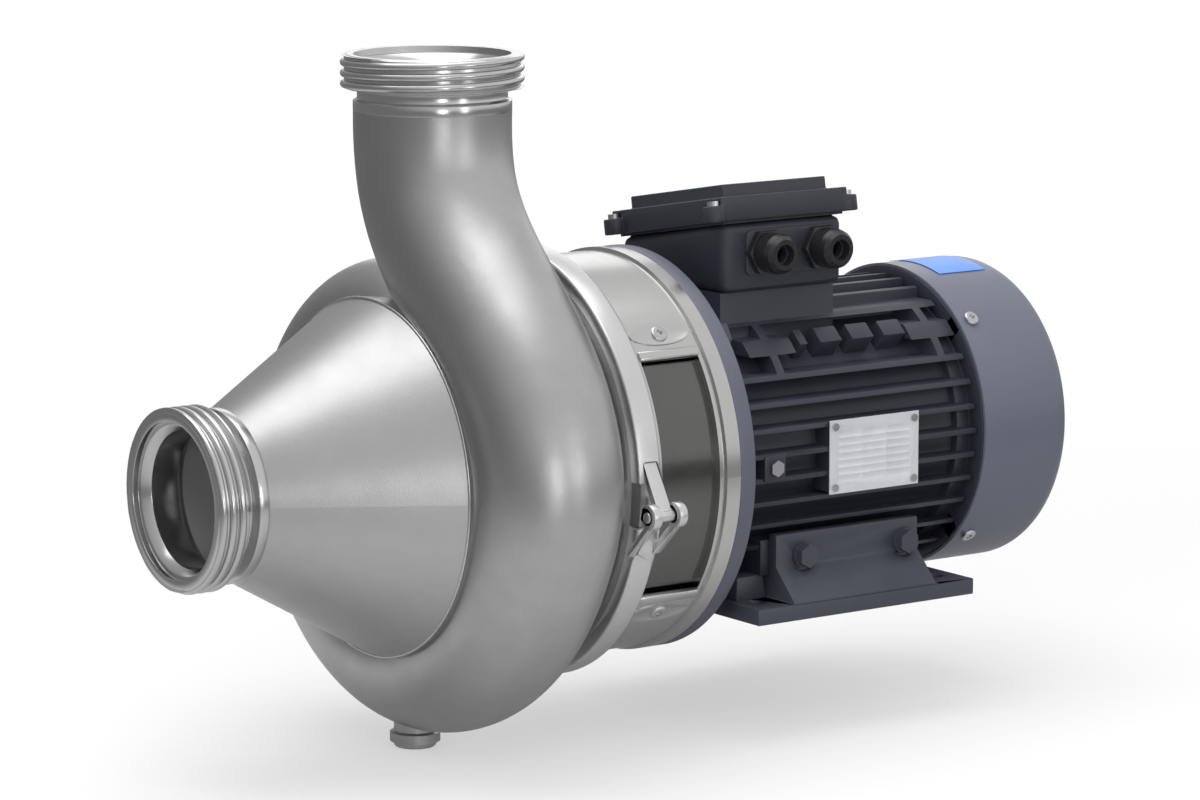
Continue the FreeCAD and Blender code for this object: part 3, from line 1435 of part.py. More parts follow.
lid_near = "(-(lid_near_x - box_near_x) / cos(box_lid_slope) + lid_rim)"
lid_far = "(-(lid_near_x - box_far_x) / cos(box_lid_slope) - lid_rim)"
lid_half = "(box_half_length + lid_rim)"
lid = lid_body("terminal_box_lid")
pad(lid, "lid_t", offset="lid_t / 2", outlines=[rectangle(lid_far, f"-{lid_half}", lid_near, lid_half)])
pad(lid, "lid_plateau_t", offset="lid_t + lid_plateau_t / 2", outlines=[rectangle(
    f"{lid_far} + lid_step", f"-({lid_half} - lid_step)", f"{lid_near} - lid_step", f"{lid_half} - lid_step",
)])
lug_spots = [(x, f"{y_side} * lid_lug_y") for x in (f"({lid_far} + lid_lug_inset)", f"({lid_near} - lid_lug_inset)")
             for y_side in (-1, 1)]
for lug_x, lug_y in lug_spots:
    pad(lid, "lid_lug_t", offset="lid_lug_t / 2", circles=[(lug_x, lug_y, "lid_lug_r")])
pad(lid, "(lid_t - lid_roof_t) * 2", kind="Pocket", outlines=[rectangle(
    f"{lid_far} + lid_step", f"-({lid_half} - lid_step)", f"{lid_near} - lid_step", f"{lid_half} - lid_step",
)])
pad(lid, "lid_t * 4", kind="Pocket", circles=[(x, y, "lid_screw_r + fit_gap") for x, y in lug_spots])
pad(lid, "lid_t", kind="Pocket", offset="lid_lug_t + lid_t / 2",
    circles=[(x, y, "lid_screw_head_r + fit_gap") for x, y in lug_spots])

gasket = lid_body("lid_gasket")
gasket_outer = rectangle("-(lid_near_x - box_far_x) / cos(box_lid_slope)", "-box_half_length",
                         "-(lid_near_x - box_near_x) / cos(box_lid_slope)", "box_half_length")
gasket_inner = rectangle("-(lid_near_x - box_far_x) / cos(box_lid_slope) + box_wall", "box_wall - box_half_length",
                         "-(lid_near_x - box_near_x) / cos(box_lid_slope) - box_wall", "box_half_length - box_wall")
pad(gasket, "gasket_t * cos(box_lid_slope)", offset="-gasket_t * cos(box_lid_slope) / 2", outlines=[gasket_outer, gasket_inner])

lid_screws = lid_body("lid_screws")
for lug_x, lug_y in lug_spots:
    pad(lid_screws, "lid_screw_head_t", offset="lid_lug_t + lid_screw_head_t / 2",
        circles=[(lug_x, lug_y, "lid_screw_head_r")])
    pad(lid_screws, "lid_lug_t + 1", offset="(lid_lug_t + 1) / 2", circles=[(lug_x, lug_y, "lid_screw_r")])

# Cable glands, terminals, nameplate and earth screw

FACING_X = FreeCAD.Rotation(V(0, 0, 1), -90)


def gland_pieces(label, outline, hexagonal=False):
    """One kind of gland piece, turned about an axis that leaves the box, once for each cable."""
    body = new_body(label, x="box_near_x", y="gland_front_y + gland_pitch", z="axis_height + gland_rise", turn=FACING_X)
    features = [revolve(body, [outline])]
    if hexagonal:
        flange = pad(body, "gland_flange_t", plane="XZ_Plane", offset="-gland_flange_t / 2",
                     outlines=[hexagon_outline("gland_af")], circles=[(0, 0, "gland_bore_r")])
        features.append(flange)
    pattern = body.newObject("PartDesign::LinearPattern", "Pattern")
    pattern.Originals = features
    pattern.Direction = (next(item for item in body.Origin.OriginFeatures if item.Role == "X_Axis"), [""])
    bind(pattern, "Length", "gland_pitch")
    pattern.Occurrences = 2
    body.Tip = pattern
    return body


collar_end = "(gland_flange_t + gland_collar_length)"
seal_outer = "(gland_collar_r - gland_seal_wall)"
seal_start = f"({collar_end} - gland_seal_length)"
gland_pieces("gland_bodies", [
    ("gland_bore_r", "-gland_thread_length"),
    ("gland_thread_r", "-gland_thread_length"),
    ("gland_thread_r", 0),
    ("gland_collar_r", 0),
    ("gland_collar_r", collar_end),
    (seal_outer, collar_end),
    (seal_outer, seal_start),
    ("gland_bore_r", seal_start),
], hexagonal=True)
gland_pieces("gland_seals", rectangle("gland_bore_r - gland_seal_wall", seal_start, f"{seal_outer} - fit_gap", collar_end))
nut_start = "(gland_flange_t + 1)"
nut_end = f"({nut_start} + gland_nut_length)"
gland_pieces("gland_nuts", [
    ("gland_collar_r + fit_gap", nut_start),
    ("gland_nut_r", nut_start),
    ("gland_nut_r", f"{nut_start} + gland_nut_length * 0.6"),
    ("gland_nut_r * 0.93", f"{nut_start} + gland_nut_length * 0.82"),
    ("gland_nut_r * 0.76", nut_end),
    ("gland_bore_r", nut_end),
    ("gland_bore_r", f"{collar_end} + fit_gap"),
    ("gland_collar_r + fit_gap", f"{collar_end} + fit_gap"),
])

floor = "(axis_height + box_base_rise + box_wall)"
terminal_block = cut(
    block("wire_way_r + 1", "wire_way_r + 1 + terminal_block_y", "box_y - terminal_block_x / 2",
          "box_y + terminal_block_x / 2", floor, f"{floor} + terminal_block_height"),
    *[rod("stud_r + fit_gap", "terminal_block_height", f"wire_way_r + 1 + terminal_block_y / 2 + {row} * stud_pitch / 2",
          f"box_y + {column} * stud_pitch", f"{floor} + terminal_block_height / 2")
      for row in (-1, 1) for column in (-1, 0, 1)],
)
keep(terminal_block, "terminal_block")
group("terminal_studs", [
    rod("stud_r", "stud_length", f"wire_way_r + 1 + terminal_block_y / 2 + {row} * stud_pitch / 2",
        f"box_y + {column} * stud_pitch", f"{floor} + terminal_block_height / 2")
    for row in (-1, 1) for column in (-1, 0, 1)
])

plate = new_body("nameplate")
rivet_spots = [(f"plate_y + {a} * (plate_length / 2 - rivet_inset)", f"plate_rise + {b} * (plate_height / 2 - rivet_inset)")
               for a in (-1, 1) for b in (-1, 1)]
pad(plate, "plate_t", plane="YZ_Plane", offset="plate_pad_x + plate_t / 2", outlines=[rectangle(
    "plate_y - plate_length / 2", "plate_rise - plate_height / 2", "plate_y + plate_length / 2",
    "plate_rise + plate_height / 2",
)], circles=[(y, z, "rivet_r + fit_gap") for y, z in rivet_spots])
group("nameplate_rivets", [
    fuse(rod("rivet_head_r", "rivet_head_t", "plate_pad_x + plate_t", y, f"axis_height + {z}", ALONG_X),
         rod("rivet_r", "rivet_length", "plate_pad_x + plate_t - rivet_length", y, f"axis_height + {z}", ALONG_X))
    for y, z in rivet_spots
])
earth = fuse(
    rod("earth_screw_r", "earth_screw_length - 1", "earth_boss_x - earth_screw_length + 1", "earth_y",
        "axis_height + earth_rise", ALONG_X),
    hexagon("earth_screw_r * 3", "earth_screw_r", "earth_boss_x", "earth_y", "axis_height + earth_rise", ALONG_X),
)
keep(earth, "earth_screw")

# Check every object and write the pieces

doc.recompute()
for item in doc.Objects:
    if {"Invalid", "Error"} & set(item.State):
        raise RuntimeError(f"{item.Label} did not recompute: {item.State}")
os.makedirs("parts", exist_ok=True)
for piece in pieces:
    if piece.Shape.isNull() or not piece.Shape.isValid() or not piece.Shape.Solids:
        raise RuntimeError(f"{piece.Label} has no valid shape")
    piece.Shape.exportStep(f"parts/{piece.Label}.step")
    print(piece.Label, len(piece.Shape.Solids), round(piece.Shape.Volume))
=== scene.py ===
"""Looks for a sanitary pump: blasted casing, threaded unions, clamp band, lantern and motor."""

import json
import logging
import math
from dataclasses import dataclass, field
from enum import Enum
from typing import Callable, Optional, Sequence, Union

import bmesh
import bpy
from mathutils import Matrix, Vector


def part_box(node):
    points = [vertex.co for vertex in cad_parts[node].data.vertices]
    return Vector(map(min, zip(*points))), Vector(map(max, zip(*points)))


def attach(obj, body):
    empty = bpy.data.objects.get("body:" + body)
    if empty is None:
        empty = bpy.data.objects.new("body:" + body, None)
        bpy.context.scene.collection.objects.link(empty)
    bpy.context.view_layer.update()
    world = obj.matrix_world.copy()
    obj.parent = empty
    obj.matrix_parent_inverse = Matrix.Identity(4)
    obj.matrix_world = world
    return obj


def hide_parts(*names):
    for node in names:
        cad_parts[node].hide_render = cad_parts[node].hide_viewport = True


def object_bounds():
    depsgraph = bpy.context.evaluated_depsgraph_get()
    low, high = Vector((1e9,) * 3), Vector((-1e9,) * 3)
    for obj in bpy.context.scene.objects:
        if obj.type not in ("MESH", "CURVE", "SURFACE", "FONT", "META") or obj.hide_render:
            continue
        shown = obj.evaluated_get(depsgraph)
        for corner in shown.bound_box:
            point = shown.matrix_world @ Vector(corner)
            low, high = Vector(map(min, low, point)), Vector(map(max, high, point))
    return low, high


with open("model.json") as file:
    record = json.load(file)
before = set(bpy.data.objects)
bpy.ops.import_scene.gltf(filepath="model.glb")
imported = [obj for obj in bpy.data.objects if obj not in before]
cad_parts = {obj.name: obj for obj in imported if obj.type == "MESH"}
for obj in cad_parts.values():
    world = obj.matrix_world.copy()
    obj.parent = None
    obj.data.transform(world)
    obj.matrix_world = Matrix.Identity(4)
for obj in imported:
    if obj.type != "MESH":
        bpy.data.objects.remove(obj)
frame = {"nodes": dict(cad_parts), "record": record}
cad_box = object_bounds()

Colour = tuple[float, float, float]
Place = tuple[float, float, float]

MM = 0.001
SHAFT_Z = 100 * MM
BLACK: Colour = (0.0, 0.0, 0.0)
WHITE: Colour = (1.0, 1.0, 1.0)
NOISE_MIDDLE = 0.5
X_AXIS, Y_AXIS, Z_AXIS = 0, 1, 2
# Points nearer than this are one point.
MERGE_DISTANCE = 0.01 * MM
# A face that is picked by its normal faces an axis at least this squarely.
FACING = 0.9
# In degrees: faces that meet at less are one flat face, edges that turn more are rounded, and
# edges that turn less are shaded smooth.
FLAT_ANGLE, SHARP_ANGLE, SMOOTH_ANGLE = 0.4, 35.0, 32.0
# The outer upright corners of a box are longer than this, and are rounded in this many steps.
CORNER_LENGTH = 20 * MM
CORNER_STEPS = 6

log = logging.getLogger("pump")


# Shader maths


class Signal:
    """One value that changes over a surface, for maths written as Python expressions."""

    def __init__(self, graph: "Graph", socket: bpy.types.NodeSocket) -> None:
        """Keeps the node graph that it belongs to, and the output socket that gives the value."""
        self.graph = graph
        self.socket = socket

    def maths(self, operation: str, *values: "Value") -> "Signal":
        """Adds one Math node.

        Args:
            operation: the node's operation.
            values: what goes into it, in order.
        Returns:
            The node's value.
        """
        return self.graph.node("ShaderNodeMath", {"operation": operation}, dict(enumerate(values)))

    def __add__(self, other: "Value") -> "Signal":
        """This plus other."""
        return self.maths("ADD", self, other)

    def __radd__(self, other: "Value") -> "Signal":
        """Other plus this."""
        return self.maths("ADD", other, self)

    def __sub__(self, other: "Value") -> "Signal":
        """This less other."""
        return self.maths("SUBTRACT", self, other)

    def __rsub__(self, other: "Value") -> "Signal":
        """Other less this."""
        return self.maths("SUBTRACT", other, self)

    def __mul__(self, other: "Value") -> "Signal":
        """This times other."""
        return self.maths("MULTIPLY", self, other)

    def __rmul__(self, other: "Value") -> "Signal":
        """Other times this."""
        return self.maths("MULTIPLY", other, self)

    def __truediv__(self, other: "Value") -> "Signal":
        """This over other."""
        return self.maths("DIVIDE", self, other)

    def __pow__(self, other: "Value") -> "Signal":
        """This to the power of other."""
        return self.maths("POWER", self, other)

    def clamped(self) -> "Signal":
        """This held between 0 and 1."""
        return self.maths("MINIMUM", self.maths("MAXIMUM", self, 0.0), 1.0)

    def ramp(self, low: float, high: float) -> "Signal":
        """0 up to low, 1 from high, and even between them."""
        return ((self - low) / (high - low)).clamped()

    def mixed(self, other: "Signal", share: float) -> "Signal":
        """This, with a share of other in place of as much of it."""
        return self * (1 - share) + other * share

    def drift(self, spread: float) -> "Signal":
        """Noise made a change up and down from zero, over a whole spread."""
        return (self - NOISE_MIDDLE) * spread


Value = Union[Signal, float]
Tint = Union[Signal, Colour]
Sockets = dict[str, Union[Signal, float, Colour]]


@dataclass(frozen=True)
class Grain:
    """Soft noise: its swells per metre, the finer layers on them, and how much each layer counts."""

    per_metre: float
    detail: float = 3.0
    layer_share: float = 0.6


class Graph:
    """The nodes of a material or of the world."""

    MIX_SHARE, MIX_FIRST, MIX_SECOND, MIX_RESULT = 0, 6, 7, 2

    def __init__(self, tree: bpy.types.NodeTree) -> None:
        """Keeps the node tree that is filled."""
        self.tree = tree

    def node(self, kind: str, settings: dict, values: dict, output: Union[int, str] = 0) -> Signal:
        """Adds a node.

        Args:
            kind: the node's type.
            settings: its own settings.
            values: numbers, colours or signals for its sockets, by name or number.
            output: the output that is wanted.
        Returns:
            That output.
        """
        made = self.tree.nodes.new(kind)
        for name, setting in settings.items():
            setattr(made, name, setting)
        for name, value in values.items():
            self.feed(made.inputs[name], value)
        return Signal(self, made.outputs[output])

    def feed(self, socket: bpy.types.NodeSocket, value: Union[Value, Colour]) -> None:
        """Links a signal to a socket, or sets the socket.

        Args:
            socket: the input socket.
            value: a signal, or else a number, colour or vector.
        """
        if isinstance(value, Signal):
            self.tree.links.new(value.socket, socket)
        elif isinstance(value, tuple) and socket.type == "RGBA":
            socket.default_value = (*value, 1.0)
        else:
            socket.default_value = value

    def parts_of(self, vector: Signal) -> tuple[Signal, Signal, Signal]:
        """The three numbers of a vector."""
        split = self.node("ShaderNodeSeparateXYZ", {}, {0: vector}).socket.node
        return tuple(Signal(self, output) for output in split.outputs)

    def joined(self, x: Value, y: Value, z: Value) -> Signal:
        """A vector of three numbers."""
        return self.node("ShaderNodeCombineXYZ", {}, {0: x, 1: y, 2: z})

    def along(self, vector: Signal, direction: Place) -> Signal:
        """How far a vector goes in a fixed direction."""
        settings = {"operation": "DOT_PRODUCT"}
        return self.node("ShaderNodeVectorMath", settings, {0: vector, 1: direction}, "Value")

    def blend(self, share: Value, first: Tint, second: Tint) -> Signal:
        """A colour between two, by share."""
        values = {self.MIX_SHARE: share, self.MIX_FIRST: first, self.MIX_SECOND: second}
        return self.node("ShaderNodeMix", {"data_type": "RGBA"}, values, self.MIX_RESULT)

    def ray_is(self, kind: str) -> Signal:
        """1 for rays of one kind, such as Camera, and 0 for the others."""
        return self.node("ShaderNodeLightPath", {}, {}, f"Is {kind} Ray")

    def ray_mirrors(self) -> Signal:
        """1 for rays that come off or through a glossy surface, and 0 for the others."""
        return self.ray_is("Glossy") + self.ray_is("Transmission")


class Recipe(Graph):
    """A material under construction: its nodes, and the surface that they feed."""

    def __init__(self, name: str) -> None:
        """Starts a material with a bare surface.

        Args:
            name: the material's name.
        """
        self.material = bpy.data.materials.new(name)
        self.material.use_nodes = True
        super().__init__(self.material.node_tree)
        self.tree.nodes.clear()
        self.surface = self.tree.nodes.new("ShaderNodeBsdfPrincipled")
        output = self.tree.nodes.new("ShaderNodeOutputMaterial")
        self.tree.links.new(self.surface.outputs[0], output.inputs["Surface"])

    def place(self) -> Signal:
        """The point on the piece, in metres."""
        return self.node("ShaderNodeTexCoord", {}, {}, "Object")

    def noise(self, vector: Signal, grain: Grain) -> Signal:
        """Soft noise from 0 to 1.

        Args:
            vector: the point at which it is read, in metres.
            grain: its scale and layers.
        Returns:
            The noise.
        """
        values = {"Vector": vector, "Scale": grain.per_metre, "Detail": grain.detail,
                  "Roughness": grain.layer_share}
        return self.node("ShaderNodeTexNoise", {}, values)

    def relief(self, height: Signal, depth: float, strength: float) -> Signal:
        """A normal raised by height.

        Args:
            height: the relief, from 0 to 1.
            depth: how high 1 is, in metres.
            strength: how much of it shows.
        Returns:
            The normal.
        """
        values = {"Strength": strength, "Distance": depth, "Height": height}
        return self.node("ShaderNodeBump", {}, values)

    def facing_up(self) -> Signal:
        """1 where the surface faces straight up, 0 where it is upright or faces down."""
        normal = self.node("ShaderNodeNewGeometry", {}, {}, "Normal")
        return self.parts_of(normal)[Z_AXIS].clamped()

    def dress(self, **values: Union[Value, Colour]) -> bpy.types.Material:
        """Sets the surface's sockets, their names written with underscores.

        Args:
            values: what each socket gets.
        Returns:
            The material.
        """
        for name, value in values.items():
            self.feed(self.surface.inputs[name.replace("_", " ")], value)
        return self.material


def shaded(colour: Colour, level: float) -> Colour:
    """A colour made darker or lighter."""
    return tuple(level * part for part in colour)


# Finishes


class Turning(Enum):
    """The line that a piece was turned about: its axis, and the two millimetre numbers across it."""

    SHAFT = (Y_AXIS, 0.0, 100.0)
    DISCHARGE = (Z_AXIS, 0.0, -253.5)


class Finish:
    """A finish that makes its material from the sockets that it works out."""

    def make(self, name: str) -> bpy.types.Material:
        """The material, under a name."""
        recipe = Recipe(name)
        return recipe.dress(**self.sockets(recipe, recipe.place()))

    def sockets(self, recipe: Recipe, place: Signal) -> Sockets:
        """What each socket of the surface gets at a place."""
        raise NotImplementedError


@dataclass(frozen=True)
class Blasted(Finish):
    """Bead-blasted stainless steel, with soft clouds of handling and a fine grain.

    The piece with a wall line is a cone that is polished inside. The line is the wall's radius at Y = 0, and
    how fast it grows along Y.
    """

    colour: Colour = (0.54, 0.54, 0.545)
    dull_colour: Colour = (0.45, 0.45, 0.455)
    clouds: Grain = Grain(14.0, detail=4.0)
    smudges: Grain = Grain(70.0, layer_share=0.5)
    smudge_share: float = 0.3
    dull_start: float = 0.3
    dull_contrast: float = 2.2
    roughness: float = 0.34
    smudge_roughness: float = 0.10
    grain_roughness: float = 0.12
    grain: Grain = Grain(1400.0, detail=2.0)
    grain_depth: float = 0.12 * MM
    grain_strength: float = 0.8
    wall_line: Optional[tuple[float, float]] = None
    wall_blend: float = 0.3 * MM
    inside_colour: Colour = (0.78, 0.78, 0.785)
    inside_roughness: float = 0.2
    inside_diffuse: float = 0.6

    def inside(self, recipe: Recipe, place: Signal) -> Signal:
        """Finds the polished inside of the cone.

        Args:
            recipe: the material's nodes.
            place: the point on the piece.
        Returns:
            1 inside the wall line, and 0 outside it.
        """
        radius_at_zero, growth = self.wall_line
        x, y, z = recipe.parts_of(place)
        rise = z - SHAFT_Z
        radius = (x * x + rise * rise) ** 0.5
        return (y * growth + radius_at_zero - radius).ramp(-self.wall_blend, self.wall_blend)

    def sockets(self, recipe: Recipe, place: Signal) -> Sockets:
        """Works out the surface: clouds and smudges over the grain, and the polish inside a wall line.

        Args:
            recipe: the material's nodes.
            place: the point on the piece.
        Returns:
            What each socket gets.
        """
        smudges = recipe.noise(place, self.smudges)
        grain = recipe.noise(place, self.grain)
        clouds = recipe.noise(place, self.clouds).mixed(smudges, self.smudge_share)
        share = ((clouds - self.dull_start) * self.dull_contrast).clamped()
        colour = recipe.blend(share, self.colour, self.dull_colour)
        roughness = self.roughness + smudges.drift(self.smudge_roughness) + grain.drift(self.grain_roughness)
        metallic: Value = 1.0
        if self.wall_line:
            polished = self.inside(recipe, place)
            colour = recipe.blend(polished, colour, self.inside_colour)
            roughness = roughness - polished * (roughness - self.inside_roughness)
            metallic = 1.0 - polished * self.inside_diffuse
        return {"Base_Color": colour, "Metallic": metallic, "Roughness": roughness,
                "Normal": recipe.relief(grain, self.grain_depth, self.grain_strength)}


@dataclass(frozen=True)
class Turned(Finish):
    """Turned and polished steel: fine rings about the line it was turned on."""

    colour: Colour = (0.66, 0.66, 0.665)
    clouds: Grain = Grain(30.0, layer_share=0.55)
    cloud_shade: float = 0.86
    roughness: float = 0.14
    roughness_spread: float = 0.16
    cloud_share: float = 0.4
    rings: Grain = Grain(900.0, detail=2.0, layer_share=0.7)
    ring_depth: float = 0.03 * MM
    ring_strength: float = 0.6
    metallic: float = 1.0
    turning: Turning = Turning.SHAFT

    def sockets(self, recipe: Recipe, place: Signal) -> Sockets:
        """Works out the surface: rings about the turning line, and soft clouds.

        Args:
            recipe: the material's nodes.
            place: the point on the piece.
        Returns:
            What each socket gets.
        """
        axis, first, second = self.turning.value
        parts = recipe.parts_of(place)
        other = Z_AXIS if axis == Y_AXIS else Y_AXIS
        across = (parts[X_AXIS] - first * MM, parts[other] - second * MM)
        radius = (across[0] * across[0] + across[1] * across[1]) ** 0.5
        rings = recipe.noise(recipe.joined(radius, parts[axis], 0.0), self.rings)
        clouds = recipe.noise(place, self.clouds)
        return {"Base_Color": recipe.blend(clouds, self.colour, shaded(self.colour, self.cloud_shade)),
                "Metallic": self.metallic,
                "Roughness": self.roughness + rings.mixed(clouds, self.cloud_share) * self.roughness_spread,
                "Normal": recipe.relief(rings, self.ring_depth, self.ring_strength)}


@dataclass(frozen=True)
class Bright(Finish):
    """Small bright metal pieces: light tool marks and a little colour drift."""

    colour: Colour = (0.66, 0.66, 0.67)
    spots: Grain = Grain(160.0)
    spot_shade: float = 0.78
    roughness: float = 0.24
    spot_roughness: float = 0.16
    mark_roughness: float = 0.1
    marks: Grain = Grain(1280.0, detail=2.0)
    mark_depth: float = 0.04 * MM
    mark_strength: float = 0.5

    def sockets(self, recipe: Recipe, place: Signal) -> Sockets:
        """Works out the surface: spots of colour and fine marks.

        Args:
            recipe: the material's nodes.
            place: the point on the piece.
        Returns:
            What each socket gets.
        """
        spots = recipe.noise(place, self.spots)
        marks = recipe.noise(place, self.marks)
        roughness = self.roughness + spots.drift(self.spot_roughness) + marks.drift(self.mark_roughness)
        return {"Base_Color": recipe.blend(spots, self.colour, shaded(self.colour, self.spot_shade)),
                "Metallic": 1.0, "Roughness": roughness,
                "Normal": recipe.relief(marks, self.mark_depth, self.mark_strength)}


@dataclass(frozen=True)
class Painted(Finish):
    """Paint over metal: orange peel, cast or sheet skin below, and paler patches on what faces up."""

    colour: Colour = (0.025, 0.027, 0.040)
    # The paler tone that the random clouds and the patches on upward-facing surfaces blend towards.
    pale_colour: Colour = (0.060, 0.064, 0.088)
    clouds: Grain = Grain(24.0, detail=4.0)
    cloud_share: float = 0.25
    # Upward-facing surfaces turn paler in patches.
    upward_contrast: float = 1.6
    upward_start: float = 0.3
    upward_share: float = 0.55
    roughness: float = 0.42
    cloud_roughness: float = 0.16
    upward_roughness: float = 0.12
    skin: Grain = Grain(420.0)
    skin_depth: float = 0.12 * MM
    skin_strength: float = 0.7
    peel: Grain = Grain(1500.0, detail=1.0, layer_share=0.5)
    peel_share: float = 0.2

    def sockets(self, recipe: Recipe, place: Signal) -> Sockets:
        """Works out the surface: clouds, and paler patches where it faces up, over the skin.

        Args:
            recipe: the material's nodes.
            place: the point on the piece.
        Returns:
            What each socket gets.
        """
        skin = recipe.noise(place, self.skin)
        peel = recipe.noise(place, self.peel)
        clouds = recipe.noise(place, self.clouds)
        # The paint is paler in patches on upward-facing surfaces.
        upward_patches = (recipe.facing_up() * (clouds * self.upward_contrast - self.upward_start)).clamped()
        upward_paling = upward_patches * self.upward_share
        roughness = self.roughness + clouds.drift(self.cloud_roughness) + upward_paling * self.upward_roughness
        height = skin.mixed(peel, self.peel_share)
        return {"Base_Color": recipe.blend(upward_paling + clouds * self.cloud_share, self.colour, self.pale_colour),
                "Roughness": roughness,
                "Normal": recipe.relief(height, self.skin_depth, self.skin_strength)}


@dataclass(frozen=True)
class Moulded(Finish):
    """Moulded plastic or rubber: a fine eroded skin and uneven gloss."""

    colour: Colour = (0.022, 0.023, 0.028)
    faded_colour: Colour = (0.045, 0.046, 0.052)
    clouds: Grain = Grain(60.0)
    roughness: float = 0.46
    cloud_roughness: float = 0.2
    skin: Grain = Grain(1800.0, detail=2.0)
    skin_depth: float = 0.06 * MM
    skin_strength: float = 0.6

    def sockets(self, recipe: Recipe, place: Signal) -> Sockets:
        """Works out the surface: faded clouds over the skin.

        Args:
            recipe: the material's nodes.
            place: the point on the piece.
        Returns:
            What each socket gets.
        """
        skin = recipe.noise(place, self.skin)
        clouds = recipe.noise(place, self.clouds)
        return {"Base_Color": recipe.blend(clouds, self.colour, self.faded_colour),
                "Roughness": self.roughness + clouds.drift(self.cloud_roughness),
                "Normal": recipe.relief(skin, self.skin_depth, self.skin_strength)}


@dataclass(frozen=True)
class Brushed(Finish):
    """Sheet brushed along the shaft: long fine scratches."""

    colour: Colour = (0.56, 0.58, 0.63)
    clouds: Grain = Grain(50.0)
    cloud_shade: float = 0.8
    roughness: float = 0.34
    scratch_roughness: float = 0.2
    scratches: Grain = Grain(2600.0, detail=2.0)
    stretch: float = 40.0
    scratch_depth: float = 0.03 * MM
    scratch_strength: float = 0.6
    metallic: float = 1.0

    def sockets(self, recipe: Recipe, place: Signal) -> Sockets:
        """Works out the surface: scratches drawn out along the shaft, and soft clouds.

        Args:
            recipe: the material's nodes.
            place: the point on the piece.
        Returns:
            What each socket gets.
        """
        x, y, z = recipe.parts_of(place)
        lines = recipe.noise(recipe.joined(x, y / self.stretch, z), self.scratches)
        clouds = recipe.noise(place, self.clouds)
        return {"Base_Color": recipe.blend(clouds, self.colour, shaded(self.colour, self.cloud_shade)),
                "Metallic": self.metallic,
                "Roughness": self.roughness + lines.drift(self.scratch_roughness),
                "Normal": recipe.relief(lines, self.scratch_depth, self.scratch_strength)}


Finishes = dict[str, tuple[Finish, tuple[str, ...]]]


# Modelling


class Pick(Enum):
    """What edit mode selects."""

    FACE = "faces"
    EDGE = "edges"
    VERT = "verts"


def begin(name: str, add: Callable[..., set], **settings: object) -> bpy.types.Object:
    """Starts a piece from a primitive, with nothing else selected.

    Args:
        name: the piece's name.
        add: the operator that adds the primitive.
        settings: the operator's settings.
    Returns:
        The piece, at the origin.
    """
    bpy.ops.object.select_all(action="DESELECT")
    add(**settings)
    piece = bpy.context.object
    piece.name = piece.data.name = name
    bpy.ops.object.transform_apply()
    return piece


def edit(piece: bpy.types.Object, active: bool = True) -> None:
    """Goes into edit mode on one piece, or back out of it."""
    bpy.context.view_layer.objects.active = piece
    bpy.ops.object.mode_set(mode="EDIT" if active else "OBJECT")


def pick(piece: bpy.types.Object, kind: Pick, wanted: Callable[[object], bool]) -> None:
    """Selects in edit mode by a test.

    Args:
        piece: the piece that is edited.
        kind: faces, edges or vertices.
        wanted: the test on each of them.
    """
    bpy.ops.mesh.select_mode(type=kind.name)
    bpy.ops.mesh.select_all(action="DESELECT")
    mesh = bmesh.from_edit_mesh(piece.data)
    for item in getattr(mesh, kind.value):
        if wanted(item):
            item.select_set(True)
    bmesh.update_edit_mesh(piece.data)


def span(edge: bmesh.types.BMEdge, axis: int) -> float:
    """How far an edge goes along an axis."""
    return abs(edge.verts[0].co[axis] - edge.verts[1].co[axis])


def modified(piece: bpy.types.Object, kind: str, **settings: object) -> None:
    """Applies a modifier.

    Args:
        piece: the piece that it shapes.
        kind: the modifier's type.
        settings: its settings.
    """
    modifier = piece.modifiers.new(kind.lower(), kind)
    for name, setting in settings.items():
        setattr(modifier, name, setting)
    bpy.context.view_layer.objects.active = piece
    bpy.ops.object.modifier_apply(modifier=modifier.name)


def smoothed() -> None:
    """Shades the selected piece smooth between its sharp edges."""
    bpy.ops.object.shade_smooth_by_angle(angle=math.radians(SMOOTH_ANGLE))


def rounded(piece: bpy.types.Object, width: float, segments: int = 2) -> None:
    """Rounds a piece's sharp edges and shades it smooth between those that are left.

    Args:
        piece: the piece, alone in the selection.
        width: how wide the rounding is, in metres.
        segments: how many faces it has across.
    """
    modified(piece, "BEVEL", width=width, segments=segments, limit_method="ANGLE",
             angle_limit=math.radians(SHARP_ANGLE), use_clamp_overlap=False)
    smoothed()


def outward(piece: bpy.types.Object) -> None:
    """Turns a closed piece's faces outwards, after its doubles are merged.

    Args:
        piece: the piece, in object mode.
    """
    edit(piece)
    bpy.ops.mesh.select_all(action="SELECT")
    bpy.ops.mesh.remove_doubles(threshold=MERGE_DISTANCE)
    bpy.ops.mesh.normals_make_consistent(inside=False)
    edit(piece, False)


def spun(name: str, section: Sequence[tuple[float, float]], rise: float, steps: int) -> bpy.types.Object:
    """A closed ring, spun from its section about a line along Y.

    Args:
        name: its name.
        section: the section's corners, as (radius, place along).
        rise: the height of the line.
        steps: how many steps it goes round in.
    Returns:
        The ring.
    """
    piece = begin(name, bpy.ops.mesh.primitive_circle_add, vertices=len(section))
    for vertex, (radius, place) in zip(piece.data.vertices, section):
        vertex.co = (radius, place, rise)
    edit(piece)
    bpy.ops.mesh.select_all(action="SELECT")
    bpy.ops.mesh.spin(steps=steps, angle=2 * math.pi, center=(0, 0, rise), axis=(0, 1, 0))
    edit(piece, False)
    outward(piece)
    return piece


def block(name: str, size: Place, middle: Place) -> bpy.types.Object:
    """A block to shape, in edit mode.

    Args:
        name: its name.
        size: its three sides.
        middle: its middle.
    Returns:
        The block.
    """
    piece = begin(name, bpy.ops.mesh.primitive_cube_add, size=1.0, scale=size, location=middle)
    edit(piece)
    return piece


